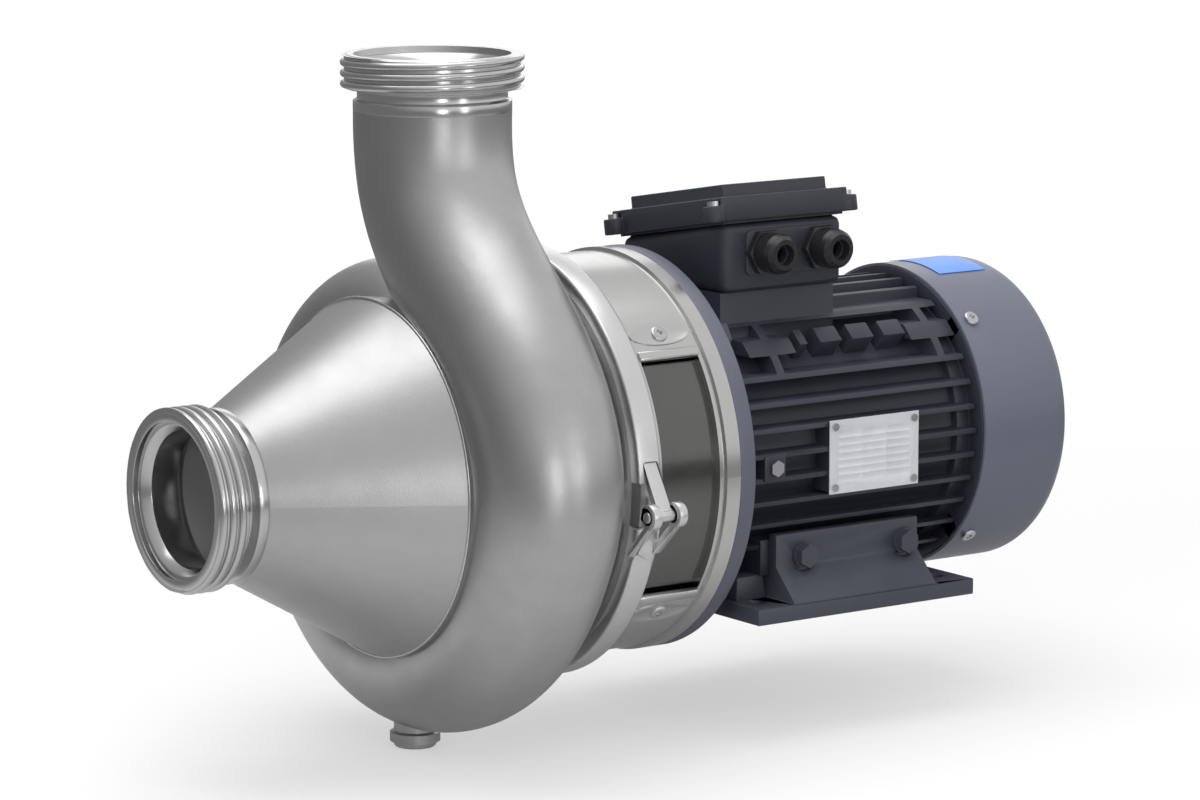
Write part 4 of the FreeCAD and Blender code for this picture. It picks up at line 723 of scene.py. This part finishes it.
def copied(piece: bpy.types.Object, name: str, move: Matrix) -> bpy.types.Object:
    """A copy with its own mesh, moved in that mesh.

    Args:
        piece: what is copied.
        name: the copy's name.
        move: the turn and shift of its mesh.
    Returns:
        The copy.
    """
    other = bpy.data.objects.new(name, piece.data.copy())
    other.data.name = name
    other.data.transform(move)
    bpy.context.scene.collection.objects.link(other)
    return other


def about_shaft(degrees: float) -> Matrix:
    """A turn about the shaft axis, from straight out along X towards straight up."""
    centre = Matrix.Translation((0.0, 0.0, SHAFT_Z))
    return centre @ Matrix.Rotation(math.radians(-degrees), 4, "Y") @ centre.inverted()


def upright_corner(node: str) -> Callable[[bmesh.types.BMEdge], bool]:
    """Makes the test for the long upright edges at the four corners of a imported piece.

    Args:
        node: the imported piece.
    Returns:
        The test.
    """
    low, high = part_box(node)

    def wanted(edge: bmesh.types.BMEdge) -> bool:
        """Tests an edge.

        Args:
            edge: the edge.
        Returns:
            True for one that is long and at a corner.
        """
        return edge.calc_length() > CORNER_LENGTH and all(
            min(abs(vertex.co[axis] - low[axis]), abs(vertex.co[axis] - high[axis])) < MERGE_DISTANCE
            for vertex in edge.verts for axis in (X_AXIS, Y_AXIS))

    return wanted


def softened(node: str, width: float, corner: float = 0.0) -> bpy.types.Object:
    """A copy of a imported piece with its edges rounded, which stands for that piece.

    Args:
        node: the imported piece.
        width: how wide its edges are rounded, in metres.
        corner: how wide its four outer upright corners are rounded first, in metres.
    Returns:
        The copy.
    """
    bpy.ops.object.select_all(action="DESELECT")
    piece = copied(frame["nodes"][node], node + "_rounded", Matrix.Identity(4))
    piece.select_set(True)
    bpy.context.view_layer.objects.active = piece
    bpy.ops.mesh.customdata_custom_splitnormals_clear()
    edit(piece)
    bpy.ops.mesh.select_all(action="SELECT")
    bpy.ops.mesh.remove_doubles(threshold=MERGE_DISTANCE)
    bpy.ops.mesh.dissolve_limited(angle_limit=math.radians(FLAT_ANGLE))
    if corner:
        pick(piece, Pick.EDGE, upright_corner(node))
        bpy.ops.mesh.bevel(offset=corner, segments=CORNER_STEPS)
    edit(piece, False)
    rounded(piece, width)
    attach(piece, body_of(node))
    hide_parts(node)
    return piece


def body_of(node: str) -> str:
    """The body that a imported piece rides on."""
    bodies = frame["record"]["behaviour"]["bodies"]
    return next(body for body, nodes in bodies.items() if node in nodes)


def fit(piece: bpy.types.Object, material: bpy.types.Material, like: str,
        replaced: Sequence[str] = ()) -> str:
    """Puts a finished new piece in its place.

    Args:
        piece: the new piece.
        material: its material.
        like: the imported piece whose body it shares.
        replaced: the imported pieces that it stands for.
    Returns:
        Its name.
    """
    cover(piece, material)
    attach(piece, body_of(like))
    if replaced:
        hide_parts(*replaced)
    return piece.name


def cover(piece: bpy.types.Object, material: bpy.types.Material) -> None:
    """Gives a piece one material all over."""
    piece.data.materials.clear()
    piece.data.materials.append(material)


@dataclass
class Assembly:
    """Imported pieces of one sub-assembly, each with its finish, and the new pieces modelled on them."""

    finishes: Finishes = field(default_factory=dict)
    rounding: dict[str, float] = field(default_factory=dict)
    corners: dict[str, float] = field(default_factory=dict)
    made: dict[str, bpy.types.Material] = field(default_factory=dict)

    def build(self) -> list[str]:
        """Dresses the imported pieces, and models the new ones.

        Returns:
            The names of the pieces that are done.
        """
        done = []
        for name, (finish, nodes) in self.finishes.items():
            self.made[name] = finish.make(name)
            for node in nodes:
                piece = frame["nodes"][node]
                if node in self.rounding:
                    piece = softened(node, self.rounding[node], self.corners.get(node, 0.0))
                cover(piece, self.made[name])
                done.append(node)
        return done + self.model()

    def model(self) -> list[str]:
        """Models new pieces. Returns their names."""
        return []


# Sub-assemblies


@dataclass(frozen=True)
class ThreadedUnion:
    """A male round-thread union: a turned body whose rim is at the origin, with the thread wound on it."""

    length: float = 34 * MM
    seat_r: float = 47 * MM
    seat_step: float = 4 * MM
    seat_land: float = 2.4 * MM
    seat_depth: float = 9 * MM
    bore_r: float = 40.5 * MM
    mouth_r: float = 47 * MM
    root_r: float = 52.6 * MM
    rim: float = 1.2 * MM
    neck_r: float = 45 * MM
    collar_length: float = 7.5 * MM
    edge_width: float = 0.35 * MM
    thread_lead: float = 0.3
    thread_end: float = 20.25 * MM
    bead_r: float = 2.4 * MM
    bead_points: int = 20
    pitch: float = 6.35 * MM
    turns: int = 4
    steps: int = 112

    def outline(self, collar_r: float) -> list[tuple[float, float]]:
        """Draws the body's section.

        Args:
            collar_r: the radius of the collar at its end.
        Returns:
            Its corners, as (radius, place along).
        """
        collar = self.length - self.collar_length
        return [
            (self.seat_r, 0.0), (self.root_r - self.rim, 0.0), (self.root_r, self.rim),
            (self.root_r, self.thread_end), (self.neck_r, self.thread_end + self.rim), (self.neck_r, collar),
            (collar_r, collar + self.rim), (collar_r, self.length), (self.mouth_r, self.length),
            (self.bore_r, collar), (self.bore_r, self.seat_depth),
            (self.seat_r - self.seat_land, self.seat_step), (self.seat_r, self.seat_step),
        ]

    def thread(self) -> bpy.types.Object:
        """Winds the round thread from a ring, and cuts it square at the rim and at the relief.

        Returns:
            The thread.
        """
        start = self.rim / 2 + self.bead_r - self.pitch
        piece = begin("thread", bpy.ops.mesh.primitive_circle_add, vertices=self.bead_points,
                      radius=self.bead_r, location=(self.root_r, start, 0.0))
        modified(piece, "SCREW", axis="Y", screw_offset=self.pitch, iterations=self.turns, steps=self.steps,
                 render_steps=self.steps)
        edit(piece)
        for place, side in ((self.rim * self.thread_lead, -1.0), (self.thread_end, 1.0)):
            bpy.ops.mesh.select_all(action="SELECT")
            bpy.ops.mesh.bisect(plane_co=(0, place, 0), plane_no=(0, side, 0), use_fill=True,
                                clear_outer=True)
        edit(piece, False)
        outward(piece)
        smoothed()
        return piece

    def build(self, name: str, collar_r: float, place: Matrix) -> bpy.types.Object:
        """Models the union and puts it in place.

        Args:
            name: its name.
            collar_r: the radius of the collar that is welded on.
            place: the turn and place of its rim.
        Returns:
            The union.
        """
        thread = self.thread()
        piece = spun(name, self.outline(collar_r), 0.0, self.steps)
        rounded(piece, self.edge_width)
        thread.select_set(True)
        bpy.ops.object.join()
        piece.data.transform(place)
        return piece


@dataclass
class WetEnd(Assembly):
    """Casing, cone, unions, drain, cover, seal and impeller."""

    finishes: Finishes = field(default_factory=lambda: {
        "blasted_casing": (Blasted(), ("volute_casing", "drain_socket", "casing_cover")),
        "blasted_cone": (Blasted(colour=(0.56, 0.56, 0.565), dull_colour=(0.50, 0.50, 0.505),
                                 wall_line=(276.3 * MM, 0.566)), ("suction_cone",)),
        "polished_inlet": (Turned(), ("impeller_nut", "pump_shaft", "shaft_clamp_collar")),
        "polished_discharge": (Turned(turning=Turning.DISCHARGE), ()),
        "polished_impeller": (Turned(colour=(0.80, 0.80, 0.805), roughness=0.3, metallic=0.45),
                              ("impeller",)),
        "bright_drain": (Bright(), ("drain_plug", "seal_spring")),
        "lapped_seal": (Moulded(colour=(0.05, 0.05, 0.055), faded_colour=(0.07, 0.07, 0.075),
                                roughness=0.3), ("seal_seat", "rotating_seal_face")),
        "black_rubber": (Moulded(roughness=0.7), ("casing_o_ring", "splash_ring")),
    })
    inlet_y: float = -435.4 * MM
    inlet_collar_r: float = 52 * MM
    discharge_y: float = -253.5 * MM
    discharge_rise: float = 251.7 * MM
    discharge_collar_r: float = 47.5 * MM
    cone_base: tuple[float, float] = (107.9 * MM, -300.2 * MM)
    cone_mouth: tuple[float, float] = (50.6 * MM, -401.4 * MM)
    weld_r: float = 0.9 * MM
    weld_points: int = 8
    ripple: float = 0.16 * MM

    def model(self) -> list[str]:
        """Models the unions and the welds.

        Returns:
            Their names.
        """
        union = ThreadedUnion()
        inlet = union.build("inlet_union_threaded", self.inlet_collar_r,
                            Matrix.Translation((0.0, self.inlet_y, SHAFT_Z)))
        rim = Matrix.Translation((0.0, self.discharge_y, SHAFT_Z + self.discharge_rise))
        discharge = union.build("discharge_union_threaded", self.discharge_collar_r,
                                rim @ Matrix.Rotation(math.radians(-90), 4, "X"))
        done = [fit(inlet, self.made["polished_inlet"], "inlet_union", ["inlet_union"]),
                fit(discharge, self.made["polished_discharge"], "discharge_union", ["discharge_union"])]
        for name, (radius, place) in (("cone_weld", self.cone_base), ("mouth_weld", self.cone_mouth)):
            done.append(fit(self.weld(name, radius, place), self.made["bright_drain"], "suction_cone"))
        return done

    def weld(self, name: str, radius: float, place: float) -> bpy.types.Object:
        """A rippled weld bead round the shaft axis.

        Args:
            name: its name.
            radius: the radius of the joint.
            place: where the joint is along the shaft.
        Returns:
            The bead.
        """
        ripples = int(math.pi * radius / self.weld_r)
        piece = begin(name, bpy.ops.mesh.primitive_torus_add, major_radius=radius, minor_radius=self.weld_r,
                      major_segments=2 * ripples, minor_segments=self.weld_points,
                      rotation=(math.radians(90), 0, 0), location=(0, place, SHAFT_Z))
        edit(piece)
        per_radian = ripples / math.pi
        pick(piece, Pick.VERT,
             lambda vertex: round(math.atan2(vertex.co.z - SHAFT_Z, vertex.co.x) * per_radian) % 2 == 0)
        bpy.ops.transform.shrink_fatten(value=self.ripple)
        edit(piece, False)
        bpy.ops.object.shade_smooth()
        return piece


@dataclass
class ClampBand(Assembly):
    """The two halves of the band, hooked on the near side and closed by a screw on the far one."""

    finishes: Finishes = field(default_factory=lambda: {
        "polished_band": (Turned(colour=(0.78, 0.78, 0.78), roughness=0.26),
                          ("clamp_band_upper", "clamp_band_lower")),
        "bright_closure": (Bright(roughness=0.18), ("closure_screw", "closure_nut")),
    })
    rounding: dict[str, float] = field(default_factory=lambda: {
        "clamp_band_upper": 0.9 * MM, "clamp_band_lower": 0.9 * MM, "closure_nut": 0.8 * MM,
    })


@dataclass
class Lantern(Assembly):
    """The drum between pump and motor with its window guards."""

    finishes: Finishes = field(default_factory=lambda: {
        "polished_lantern": (Turned(colour=(0.64, 0.64, 0.63), roughness=0.15), ("lantern",)),
        # Painted shade: the guards' steel gets a dark colour that stands in for the shade of the recessed
        # windows.
        "polished_guards": (Bright(colour=(0.18, 0.18, 0.175), roughness=0.17, spots=Grain(22.0),
                                   marks=Grain(176.0, detail=2.0)),
                            ("window_guard_right", "window_guard_left")),
        "bright_guard_screws": (Bright(), ("guard_screws",)),
    })
    drum_r: float = 123 * MM
    middle_y: float = -151.75 * MM
    oval_half: tuple[float, float] = (8 * MM, 22 * MM)
    oval_t: float = 1.6 * MM
    oval_points: int = 56
    oval_rim: float = 1.5 * MM
    oval_depth: float = 0.5 * MM
    oval_edge: float = 0.3 * MM
    screw_angle: float = 43.5
    lip_angle: float = 36.9
    lip_size: Place = (3.2 * MM, 43 * MM, 6.5 * MM)
    lip_roll: float = 1.5 * MM
    lip_roll_steps: int = 4
    lip_end: float = 0.6 * MM
    lip_end_steps: int = 2

    def model(self) -> list[str]:
        """Models the pressed ovals and the rolled lips of both windows.

        Returns:
            Their names.
        """
        done = []
        for name, first, angle in (("pressed_oval", self.oval(), self.screw_angle),
                                   ("rolled_lip", self.lip(), self.lip_angle)):
            for number, degrees in enumerate((angle, -angle, 180 - angle, 180 + angle), start=1):
                piece = copied(first, f"{name}_{number}", about_shaft(degrees))
                done.append(fit(piece, self.made["polished_lantern"], "lantern"))
            bpy.data.objects.remove(first)
        return done

    def oval(self) -> bpy.types.Object:
        """Models one pressed oval round a guard screw.

        Returns:
            The oval, facing along X.
        """
        half_z, half_y = self.oval_half
        piece = begin("oval", bpy.ops.mesh.primitive_cylinder_add, vertices=self.oval_points, radius=1.0,
                      depth=self.oval_t, rotation=(0, math.radians(90), 0), scale=(half_z, half_y, 1.0),
                      location=(self.drum_r, self.middle_y, SHAFT_Z))
        edit(piece)
        pick(piece, Pick.FACE, lambda face: face.normal.x > FACING)
        bpy.ops.mesh.inset(thickness=self.oval_rim)
        bpy.ops.transform.translate(value=(-self.oval_depth, 0, 0))
        edit(piece, False)
        rounded(piece, self.oval_edge)
        return piece

    def lip(self) -> bpy.types.Object:
        """Models one rolled window lip.

        Returns:
            The lip, facing along X.
        """
        piece = block("lip", self.lip_size, (self.drum_r, self.middle_y, SHAFT_Z))
        pick(piece, Pick.EDGE, lambda edge: span(edge, Y_AXIS) > self.lip_size[Y_AXIS] / 2
             and min(vertex.co.x for vertex in edge.verts) > self.drum_r)
        bpy.ops.mesh.bevel(offset=self.lip_roll, segments=self.lip_roll_steps)
        pick(piece, Pick.FACE, lambda face: abs(face.normal.y) > FACING)
        bpy.ops.mesh.bevel(offset=self.lip_end, segments=self.lip_end_steps)
        edit(piece, False)
        smoothed()
        return piece


@dataclass
class Motor(Assembly):
    """Frame, flange, shields, inner parts, feet and nameplate."""

    finishes: Finishes = field(default_factory=lambda: {
        "flange_paint": (Painted(colour=(0.10, 0.107, 0.145), pale_colour=(0.14, 0.147, 0.18)),
                         ("motor_flange",)),
        "cast_paint": (Painted(), ("motor_frame", "rear_shield")),
        "foot_paint": (Painted(colour=(0.045, 0.049, 0.066), pale_colour=(0.085, 0.090, 0.115)),
                       ("foot_right", "foot_left")),
        "painted_bolts": (Painted(colour=(0.05, 0.053, 0.07), roughness=0.36, skin_depth=0.04 * MM),
                          ("flange_bolts", "foot_bolts")),
        "ground_steel": (Turned(colour=(0.50, 0.50, 0.51), roughness=0.2),
                         ("drive_bearing_outer", "drive_bearing_inner", "drive_bearing_balls",
                          "rear_bearing_outer", "rear_bearing_inner", "rear_bearing_balls", "motor_shaft",
                          "shaft_key")),
        "stacked_sheets": (Brushed(colour=(0.22, 0.22, 0.23), roughness=0.5),
                           ("rotor_core", "stator_core")),
        "varnished_copper": (Bright(colour=(0.55, 0.23, 0.10), roughness=0.35), ("stator_windings",)),
        "plate_metal": (Brushed(colour=(0.80, 0.81, 0.84), roughness=0.42, metallic=0.35), ()),
        "bright_rivets": (Bright(), ("nameplate_rivets", "earth_screw")),
    })
    rounding: dict[str, float] = field(default_factory=lambda: {
        "motor_flange": 0.8 * MM, "motor_frame": 0.5 * MM, "foot_right": 1.0 * MM, "foot_left": 1.0 * MM,
    })
    plate_middle: Place = (93.4 * MM, 10.5 * MM, 97 * MM)
    plate_size: Place = (0.8 * MM, 70 * MM, 46 * MM)
    plate_rim: float = 6.8 * MM
    plate_depth: float = 0.2 * MM
    plate_edge: float = 0.06 * MM
    row_cuts: int = 6
    column_cuts: int = 2
    rule_half: float = 0.3 * MM
    rim_radii: tuple[float, float] = (83 * MM, 95.3 * MM)
    rim_ends: tuple[float, float] = (96 * MM, 100 * MM)
    rim_steps: int = 96
    rim_edge: float = 0.5 * MM
    foot_block_middle: Place = (61 * MM, -68.5 * MM, 17 * MM)
    foot_block_size: Place = (23 * MM, 23 * MM, 15 * MM)
    foot_block_taper: Place = (0.92, 0.88, 1.0)
    foot_block_edge: float = 1.2 * MM

    def model(self) -> list[str]:
        """Models the nameplate, the rear shield's rim and the blocks on the feet.

        Returns:
            Their names.
        """
        done = [fit(self.nameplate(), self.made["plate_metal"], "nameplate", ["nameplate"]),
                fit(self.rim(), self.made["cast_paint"], "rear_shield")]
        for side, foot in ((1, "foot_right"), (-1, "foot_left")):
            done.append(fit(self.foot_block(foot + "_block", side), self.made["foot_paint"], foot))
        return done

    def rim(self) -> bpy.types.Object:
        """Models the flat rim round the rear shield, behind the fins.

        Returns:
            The rim.
        """
        (inner, outer), (front, rear) = self.rim_radii, self.rim_ends
        section = ((inner, front), (outer, front), (outer, rear), (inner, rear))
        piece = spun("rear_shield_rim", section, SHAFT_Z, self.rim_steps)
        rounded(piece, self.rim_edge)
        return piece

    def foot_block(self, name: str, side: int) -> bpy.types.Object:
        """Models the raised block on the front end of a foot.

        Args:
            name: its name.
            side: 1 for the right foot, -1 for the left one.
        Returns:
            The block.
        """
        x, y, z = self.foot_block_middle
        piece = block(name, self.foot_block_size, (side * x, y, z))
        pick(piece, Pick.FACE, lambda face: face.normal.z > FACING)
        bpy.ops.transform.resize(value=self.foot_block_taper)
        edit(piece, False)
        rounded(piece, self.foot_block_edge)
        return piece

    def nameplate(self) -> bpy.types.Object:
        """Models a plate with a flat rim round empty ruled boxes, pressed into it.

        Returns:
            The plate.
        """
        piece = block("nameplate_ruled", self.plate_size, self.plate_middle)
        pick(piece, Pick.FACE, lambda face: face.normal.x > FACING)
        bpy.ops.mesh.inset(thickness=self.plate_rim)
        self.rule(piece, Z_AXIS, self.row_cuts)
        self.rule(piece, Y_AXIS, self.column_cuts)
        pick(piece, Pick.FACE, lambda face: face.normal.x > FACING and all(
            abs(face.calc_center_median()[axis] - self.plate_middle[axis])
            < self.plate_size[axis] / 2 - self.plate_rim for axis in (Y_AXIS, Z_AXIS)))
        bpy.ops.mesh.inset(thickness=self.rule_half, use_individual=True)
        bpy.ops.transform.translate(value=(-self.plate_depth, 0, 0))
        edit(piece, False)
        rounded(piece, self.plate_edge, segments=1)
        return piece

    def rule(self, piece: bpy.types.Object, along: int, cuts: int) -> None:
        """Divides what is inside the plate's rim.

        Args:
            piece: the plate, in edit mode.
            along: the axis of the edges that are cut, Z for rows or Y for columns.
            cuts: how many cuts.
        """
        across = Y_AXIS if along == Z_AXIS else Z_AXIS
        limit = self.plate_size[across] / 2 - self.plate_rim / 2

        def wanted(edge: bmesh.types.BMEdge) -> bool:
            """Tests an edge.

            Args:
                edge: the edge.
            Returns:
                True for one inside the rim that runs the way that is cut.
            """
            on_face = min(vertex.co.x for vertex in edge.verts) > self.plate_middle[X_AXIS]
            inside = abs(edge.verts[0].co[across] - self.plate_middle[across]) < limit
            return on_face and inside and span(edge, across) < MERGE_DISTANCE

        pick(piece, Pick.EDGE, wanted)
        bpy.ops.mesh.subdivide(number_cuts=cuts)


@dataclass
class FanEnd(Assembly):
    """The fan, its cowl, the label and the cowl's screws."""

    finishes: Finishes = field(default_factory=lambda: {
        "cowl_paint": (Painted(colour=(0.128, 0.139, 0.183), pale_colour=(0.165, 0.177, 0.222),
                               roughness=0.34, skin=Grain(120.0), skin_depth=0.06 * MM), ("fan_cowl",)),
        "fan_plastic": (Moulded(), ("cooling_fan",)),
        "label_film": (Moulded(colour=(0.07, 0.24, 0.86), faded_colour=(0.09, 0.27, 0.84), roughness=0.34,
                               skin=Grain(300.0, detail=2.0), skin_depth=0.02 * MM), ("cowl_label",)),
        "bright_cowl_screws": (Bright(), ("cowl_screws",)),
    })


@dataclass
class TerminalBox(Assembly):
    """Terminal box, lid, glands and terminals."""

    finishes: Finishes = field(default_factory=lambda: {
        "box_paint": (Painted(colour=(0.022, 0.024, 0.034), pale_colour=(0.055, 0.059, 0.080)),
                      ("terminal_box", "terminal_box_lid")),
        "gasket_rubber": (Moulded(roughness=0.7), ("lid_gasket", "gland_seals")),
        "bright_lid_screws": (Bright(), ("lid_screws",)),
        "gland_plastic": (Moulded(colour=(0.010, 0.010, 0.012), faded_colour=(0.022, 0.022, 0.025),
                                  roughness=0.28), ("gland_bodies", "gland_nuts")),
        "terminal_plastic": (Moulded(colour=(0.16, 0.11, 0.06), faded_colour=(0.2, 0.14, 0.08)),
                             ("terminal_block",)),
        "brass": (Bright(colour=(0.72, 0.53, 0.22)), ("terminal_studs",)),
    })
    rounding: dict[str, float] = field(default_factory=lambda: {
        "terminal_box": 0.8 * MM, "terminal_box_lid": 0.9 * MM, "gland_bodies": 0.5 * MM,
    })
    corners: dict[str, float] = field(default_factory=lambda: {"terminal_box": 6 * MM})
    panel_middle: Place = (54.2 * MM, -24.5 * MM, 222.5 * MM)
    panel_size: Place = (2.4 * MM, 72 * MM, 28 * MM)
    panel_corner: float = 4 * MM
    panel_corner_steps: int = 5
    panel_edge: float = 0.5 * MM

    def model(self) -> list[str]:
        """Models the raised panel that the glands sit on.

        Returns:
            Its name.
        """
        piece = block("gland_panel", self.panel_size, self.panel_middle)
        pick(piece, Pick.EDGE, lambda edge: span(edge, X_AXIS) > self.panel_size[X_AXIS] / 2)
        bpy.ops.mesh.bevel(offset=self.panel_corner, segments=self.panel_corner_steps)
        edit(piece, False)
        rounded(piece, self.panel_edge)
        return [fit(piece, self.made["box_paint"], "terminal_box")]


# Studio


@dataclass(frozen=True)
class Lamp:
    """A soft lamp, placed from the middle of the pump and facing it."""

    name: str
    azimuth: float
    elevation: float
    distance: float
    width: float
    height: float
    power: float
    mirrored: bool = True

    def place(self, middle: Vector) -> None:
        """Adds the lamp.

        Args:
            middle: the point that it faces.
        """
        turn, rise = math.radians(self.azimuth), math.radians(self.elevation)
        away = Vector((math.cos(rise) * math.cos(turn), math.cos(rise) * math.sin(turn), math.sin(rise)))
        data = bpy.data.lights.new(self.name, "AREA")
        data.shape = "RECTANGLE"
        data.size = self.width
        data.size_y = self.height
        data.energy = self.power
        lamp = bpy.data.objects.new(self.name, data)
        lamp.location = middle + away * self.distance
        lamp.rotation_euler = away.to_track_quat("Z", "Y").to_euler()
        lamp.visible_glossy = self.mirrored
        bpy.context.scene.collection.objects.link(lamp)


@dataclass(frozen=True)
class Studio:
    """Camera, floor, world and lamps."""

    camera_place: Place = (2.33671, -1.78760, 0.60598)
    camera_right: Place = (0.57828, 0.81583, 0.0)
    camera_up: Place = (-0.13353, 0.09465, 0.98652)
    lens: float = 141.22
    sensor_width: float = 36.0
    floor_gap: float = 0.5 * MM
    floor_side: float = 14.0
    floor_colour: Colour = (0.46, 0.46, 0.46)
    floor_shade: float = 0.98
    floor_mottle: Grain = Grain(3.0, layer_share=0.55)
    floor_roughness: float = 0.9
    floor_gloss: float = 0.1
    floor_lift: float = 0.48
    fade_start: float = 0.55
    fade_end: float = 1.25
    mirror_share: float = 0.20
    bright_side: Place = (0.58, 0.58, 0.57)
    bright_edge: tuple[float, float] = (-0.6, 0.7)
    bright_grey: Colour = (0.78, 0.78, 0.785)
    dim_grey: Colour = (0.21, 0.21, 0.213)
    backdrop_edge: tuple[float, float] = (0.965, 0.985)
    lamps: tuple[Lamp, ...] = (
        Lamp("overhead", azimuth=-150, elevation=82, distance=1.6, width=1.7, height=1.5, power=12),
        Lamp("overhead_fill", azimuth=-70, elevation=78, distance=1.6, width=1.5, height=1.2, power=7,
             mirrored=False),
        Lamp("front_strip", azimuth=-22, elevation=-2, distance=1.9, width=0.3, height=0.56, power=2.5),
        Lamp("side_strip", azimuth=10, elevation=4, distance=1.9, width=0.24, height=0.8, power=1.6),
        Lamp("front_fill", azimuth=-40, elevation=30, distance=2.2, width=1.2, height=1.2, power=10,
             mirrored=False),
        Lamp("inlet_fill", azimuth=-62, elevation=6, distance=1.6, width=0.4, height=0.4, power=5,
             mirrored=False),
        Lamp("rear_rim", azimuth=140, elevation=22, distance=2.0, width=1.4, height=0.9, power=3.4),
    )

    def set_camera(self) -> None:
        """Adds the camera at the photograph's place."""
        right, up = Vector(self.camera_right), Vector(self.camera_up)
        back = right.cross(up)
        turn = Matrix((right, up, back)).transposed().to_4x4()
        data = bpy.data.cameras.new("camera")
        data.sensor_width = self.sensor_width
        data.lens = self.lens
        camera = bpy.data.objects.new("camera", data)
        camera.matrix_world = Matrix.Translation(self.camera_place) @ turn
        bpy.context.scene.collection.objects.link(camera)
        bpy.context.scene.camera = camera

    def set_floor(self, lowest: float) -> None:
        """Adds the pale floor, which keeps the shadow and fades into the white backdrop.

        Args:
            lowest: the height of the pump's lowest point.
        """
        bpy.ops.object.select_all(action="DESELECT")
        bpy.ops.mesh.primitive_plane_add(size=self.floor_side, location=(0, 0, lowest - self.floor_gap))
        floor = bpy.context.object
        floor.name = "floor"
        recipe = Recipe("floor_paper")
        place = recipe.place()
        x, y, _ = recipe.parts_of(place)
        away = ((x * x + y * y) ** 0.5).ramp(self.fade_start, self.fade_end)
        mottle = recipe.noise(place, self.floor_mottle)
        paper = recipe.blend(mottle, self.floor_colour, shaded(self.floor_colour, self.floor_shade))
        seen = recipe.ray_is("Camera") + recipe.ray_mirrors() * self.mirror_share
        glow = (away * (1.0 - self.floor_lift) + self.floor_lift) * seen
        cover(floor, recipe.dress(
            Base_Color=recipe.blend(away, paper, BLACK),
            Roughness=self.floor_roughness,
            Specular_IOR_Level=self.floor_gloss,
            Emission_Color=recipe.blend(glow, BLACK, WHITE),
            Emission_Strength=1.0,
        ))

    def set_world(self) -> None:
        """A white backdrop, with a grey studio round it that lights the pump and mirrors in the metal."""
        world = bpy.data.worlds.new("studio")
        world.use_nodes = True
        graph = Graph(world.node_tree)
        away = graph.node("ShaderNodeTexCoord", {}, {}, "Generated")
        to_camera = Vector(self.camera_place).normalized()
        bright = graph.along(away, self.bright_side).ramp(*self.bright_edge)
        backdrop = graph.along(away, tuple(-to_camera)).ramp(*self.backdrop_edge)
        room = graph.blend(bright, self.dim_grey, self.bright_grey)
        seen = (graph.ray_is("Camera") + graph.ray_mirrors() * backdrop).clamped()
        background = world.node_tree.nodes["Background"]
        graph.feed(background.inputs["Color"], graph.blend(seen, room, WHITE))
        bpy.context.scene.world = world

    def build(self) -> list[str]:
        """Sets the studio up.

        Returns:
            The names of what was added.
        """
        low, high = Vector(cad_box[0]), Vector(cad_box[1])
        self.set_camera()
        self.set_floor(low.z)
        self.set_world()
        for lamp in self.lamps:
            lamp.place((low + high) / 2)
        bpy.context.scene.view_settings.view_transform = "Standard"
        return ["camera", "floor", "world"] + [lamp.name for lamp in self.lamps]


def main() -> None:
    """Builds the sub-assemblies in order and reports each piece."""
    logging.basicConfig(level=logging.INFO, format="%(name)s: %(message)s")
    for section in (Studio(), WetEnd(), ClampBand(), Lantern(), Motor(), FanEnd(), TerminalBox()):
        for piece in section.build():
            log.info("%s: %s", type(section).__name__, piece)


if __name__ == "__main__":
    main()
